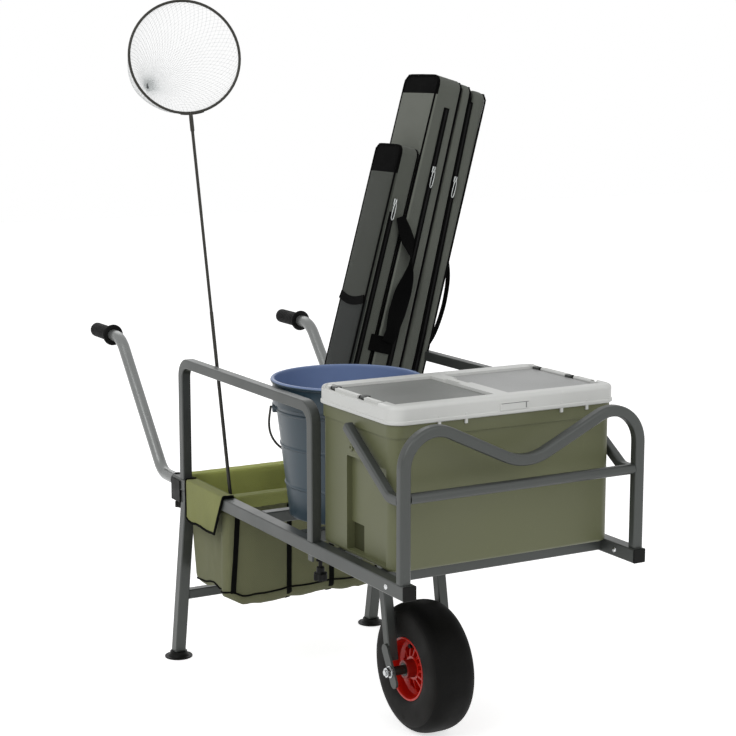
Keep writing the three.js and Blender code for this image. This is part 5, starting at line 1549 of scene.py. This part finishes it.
def make_stage():
    scene = bpy.context.scene
    world = bpy.data.worlds.new("studio")
    scene.world = world
    world.use_nodes = True
    tree = world.node_tree
    background = tree.nodes["Background"]
    background.inputs["Color"].default_value = (1, 1, 1, 1)
    path = tree.nodes.new("ShaderNodeLightPath")
    seen = sums(tree, "MAXIMUM", path.outputs["Is Camera Ray"],
                sums(tree, "MAXIMUM", path.outputs["Is Glossy Ray"], path.outputs["Is Transmission Ray"]))
    feed(tree, background.inputs["Strength"], sums(tree, "MULTIPLY_ADD", seen, 0.5, 0.5))

    floor_mesh = bpy.data.meshes.new("floor")
    bm = bmesh.new()
    bmesh.ops.create_grid(bm, x_segments=1, y_segments=1, size=12)
    bmesh.ops.translate(bm, verts=bm.verts, vec=(0, 0, -0.0005))
    bm.to_mesh(floor_mesh)
    bm.free()
    floor = bpy.data.objects.new("floor", floor_mesh)
    scene.collection.objects.link(floor)
    material, tree, shader, place = plain_material("pale floor")
    feed(tree, shader.inputs["Base Color"], tuple(colours().floor))
    shader.inputs["Roughness"].default_value = 0.9
    shader.inputs["Emission Color"].default_value = (1, 1, 1, 1)
    path = tree.nodes.new("ShaderNodeLightPath")
    seen = sums(tree, "MAXIMUM", path.outputs["Is Camera Ray"], path.outputs["Is Glossy Ray"])
    feed(tree, shader.inputs["Emission Strength"], sums(tree, "MULTIPLY", seen, 0.62))
    floor_mesh.materials.append(material)

    for name, place, aim, power in LAMPS:
        lamp = bpy.data.lights.new(name, "AREA")
        lamp.energy = power
        lamp.size = LAMP_SIZE
        light = bpy.data.objects.new(name, lamp)
        scene.collection.objects.link(light)
        light.location = place
        light.rotation_euler = (Vector(aim) - Vector(place)).to_track_quat("-Z", "Y").to_euler()

    lens = bpy.data.cameras.new("camera")
    lens.lens = CAMERA_LENS
    lens.sensor_width = 36
    camera = bpy.data.objects.new("camera", lens)
    scene.collection.objects.link(camera)
    camera.location = CAMERA_PLACE
    camera.rotation_euler = CAMERA_TURN
    scene.camera = camera
    scene.view_settings.view_transform = "Standard"


# Operators


class TROLLEY_OT_stage(bpy.types.Operator):
    """Adds the floor, the studio light and the camera"""

    bl_idname = "trolley.stage"
    bl_label = "Stage"

    def execute(self, context):
        make_stage()
        return {"FINISHED"}


class TROLLEY_OT_frame(bpy.types.Operator):
    """Dresses the rails and legs, and adds the hoops, the guard, the bolts and the feet"""

    bl_idname = "trolley.frame"
    bl_label = "Frame"

    def execute(self, context):
        make_rails()
        make_bolts()
        make_hoops()
        make_guard()
        make_feet()
        return {"FINISHED"}


class TROLLEY_OT_handles(bpy.types.Operator):
    """Adds the bent handles, their grips and the four knobs"""

    bl_idname = "trolley.handles"
    bl_label = "Handles and Knobs"

    def execute(self, context):
        make_handles()
        make_knobs()
        return {"FINISHED"}


class TROLLEY_OT_wheel(bpy.types.Operator):
    """Adds the tyre, the spoked rim and the hub"""

    bl_idname = "trolley.wheel"
    bl_label = "Wheel"

    def execute(self, context):
        make_tyre()
        make_rim()
        return {"FINISHED"}


class TROLLEY_OT_cooler(bpy.types.Operator):
    """Adds the cooler's tub, lid, hatches and latch"""

    bl_idname = "trolley.cooler"
    bl_label = "Cooler"

    def execute(self, context):
        make_tub()
        make_lid()
        make_hatches()
        make_latch()
        return {"FINISHED"}


class TROLLEY_OT_bucket(bpy.types.Operator):
    """Adds the bucket and its bail"""

    bl_idname = "trolley.bucket"
    bl_label = "Bucket"

    def execute(self, context):
        make_bucket()
        make_bail()
        return {"FINISHED"}


class TROLLEY_OT_cases(bpy.types.Operator):
    """Adds the two padded rod cases and their straps"""

    bl_idname = "trolley.cases"
    bl_label = "Rod Cases"

    def execute(self, context):
        make_tall_case()
        make_short_case()
        make_carry_strap()
        return {"FINISHED"}


class TROLLEY_OT_net(bpy.types.Operator):
    """Adds the landing net: ring, stick and mesh"""

    bl_idname = "trolley.net"
    bl_label = "Landing Net"

    def execute(self, context):
        make_net_frame()
        make_net_mesh()
        return {"FINISHED"}


class TROLLEY_OT_bag(bpy.types.Operator):
    """Adds the cloth bag with its hems, flaps and webbing"""

    bl_idname = "trolley.bag"
    bl_label = "Cloth Bag"

    def execute(self, context):
        make_bag()
        return {"FINISHED"}


STEPS = (TROLLEY_OT_stage, TROLLEY_OT_frame, TROLLEY_OT_handles, TROLLEY_OT_wheel, TROLLEY_OT_cooler,
         TROLLEY_OT_bucket, TROLLEY_OT_cases, TROLLEY_OT_net, TROLLEY_OT_bag)


class TROLLEY_PT_panel(bpy.types.Panel):
    """Lists the trolley's steps and settings"""

    bl_label = "Fishing Trolley"
    bl_idname = "TROLLEY_PT_panel"
    bl_space_type = "VIEW_3D"
    bl_region_type = "UI"
    bl_category = "Trolley"

    def draw(self, context):
        for step in STEPS:
            self.layout.operator(step.bl_idname)
        for group in (context.scene.trolley_sizes, context.scene.trolley_colours):
            for name in group.__annotations__:
                self.layout.prop(group, name)


CLASSES = (TrolleyColours, TrolleySizes, *STEPS, TROLLEY_PT_panel)


def register():
    for cls in CLASSES:
        bpy.utils.register_class(cls)
    bpy.types.Scene.trolley_colours = PointerProperty(type=TrolleyColours)
    bpy.types.Scene.trolley_sizes = PointerProperty(type=TrolleySizes)


def unregister():
    del bpy.types.Scene.trolley_sizes
    del bpy.types.Scene.trolley_colours
    for cls in reversed(CLASSES):
        bpy.utils.unregister_class(cls)


def main():
    register()
    for step in ("stage", "frame", "handles", "wheel", "cooler", "bucket", "cases", "net", "bag"):
        getattr(bpy.ops.trolley, step)()


if __name__ == "__main__":
    main()
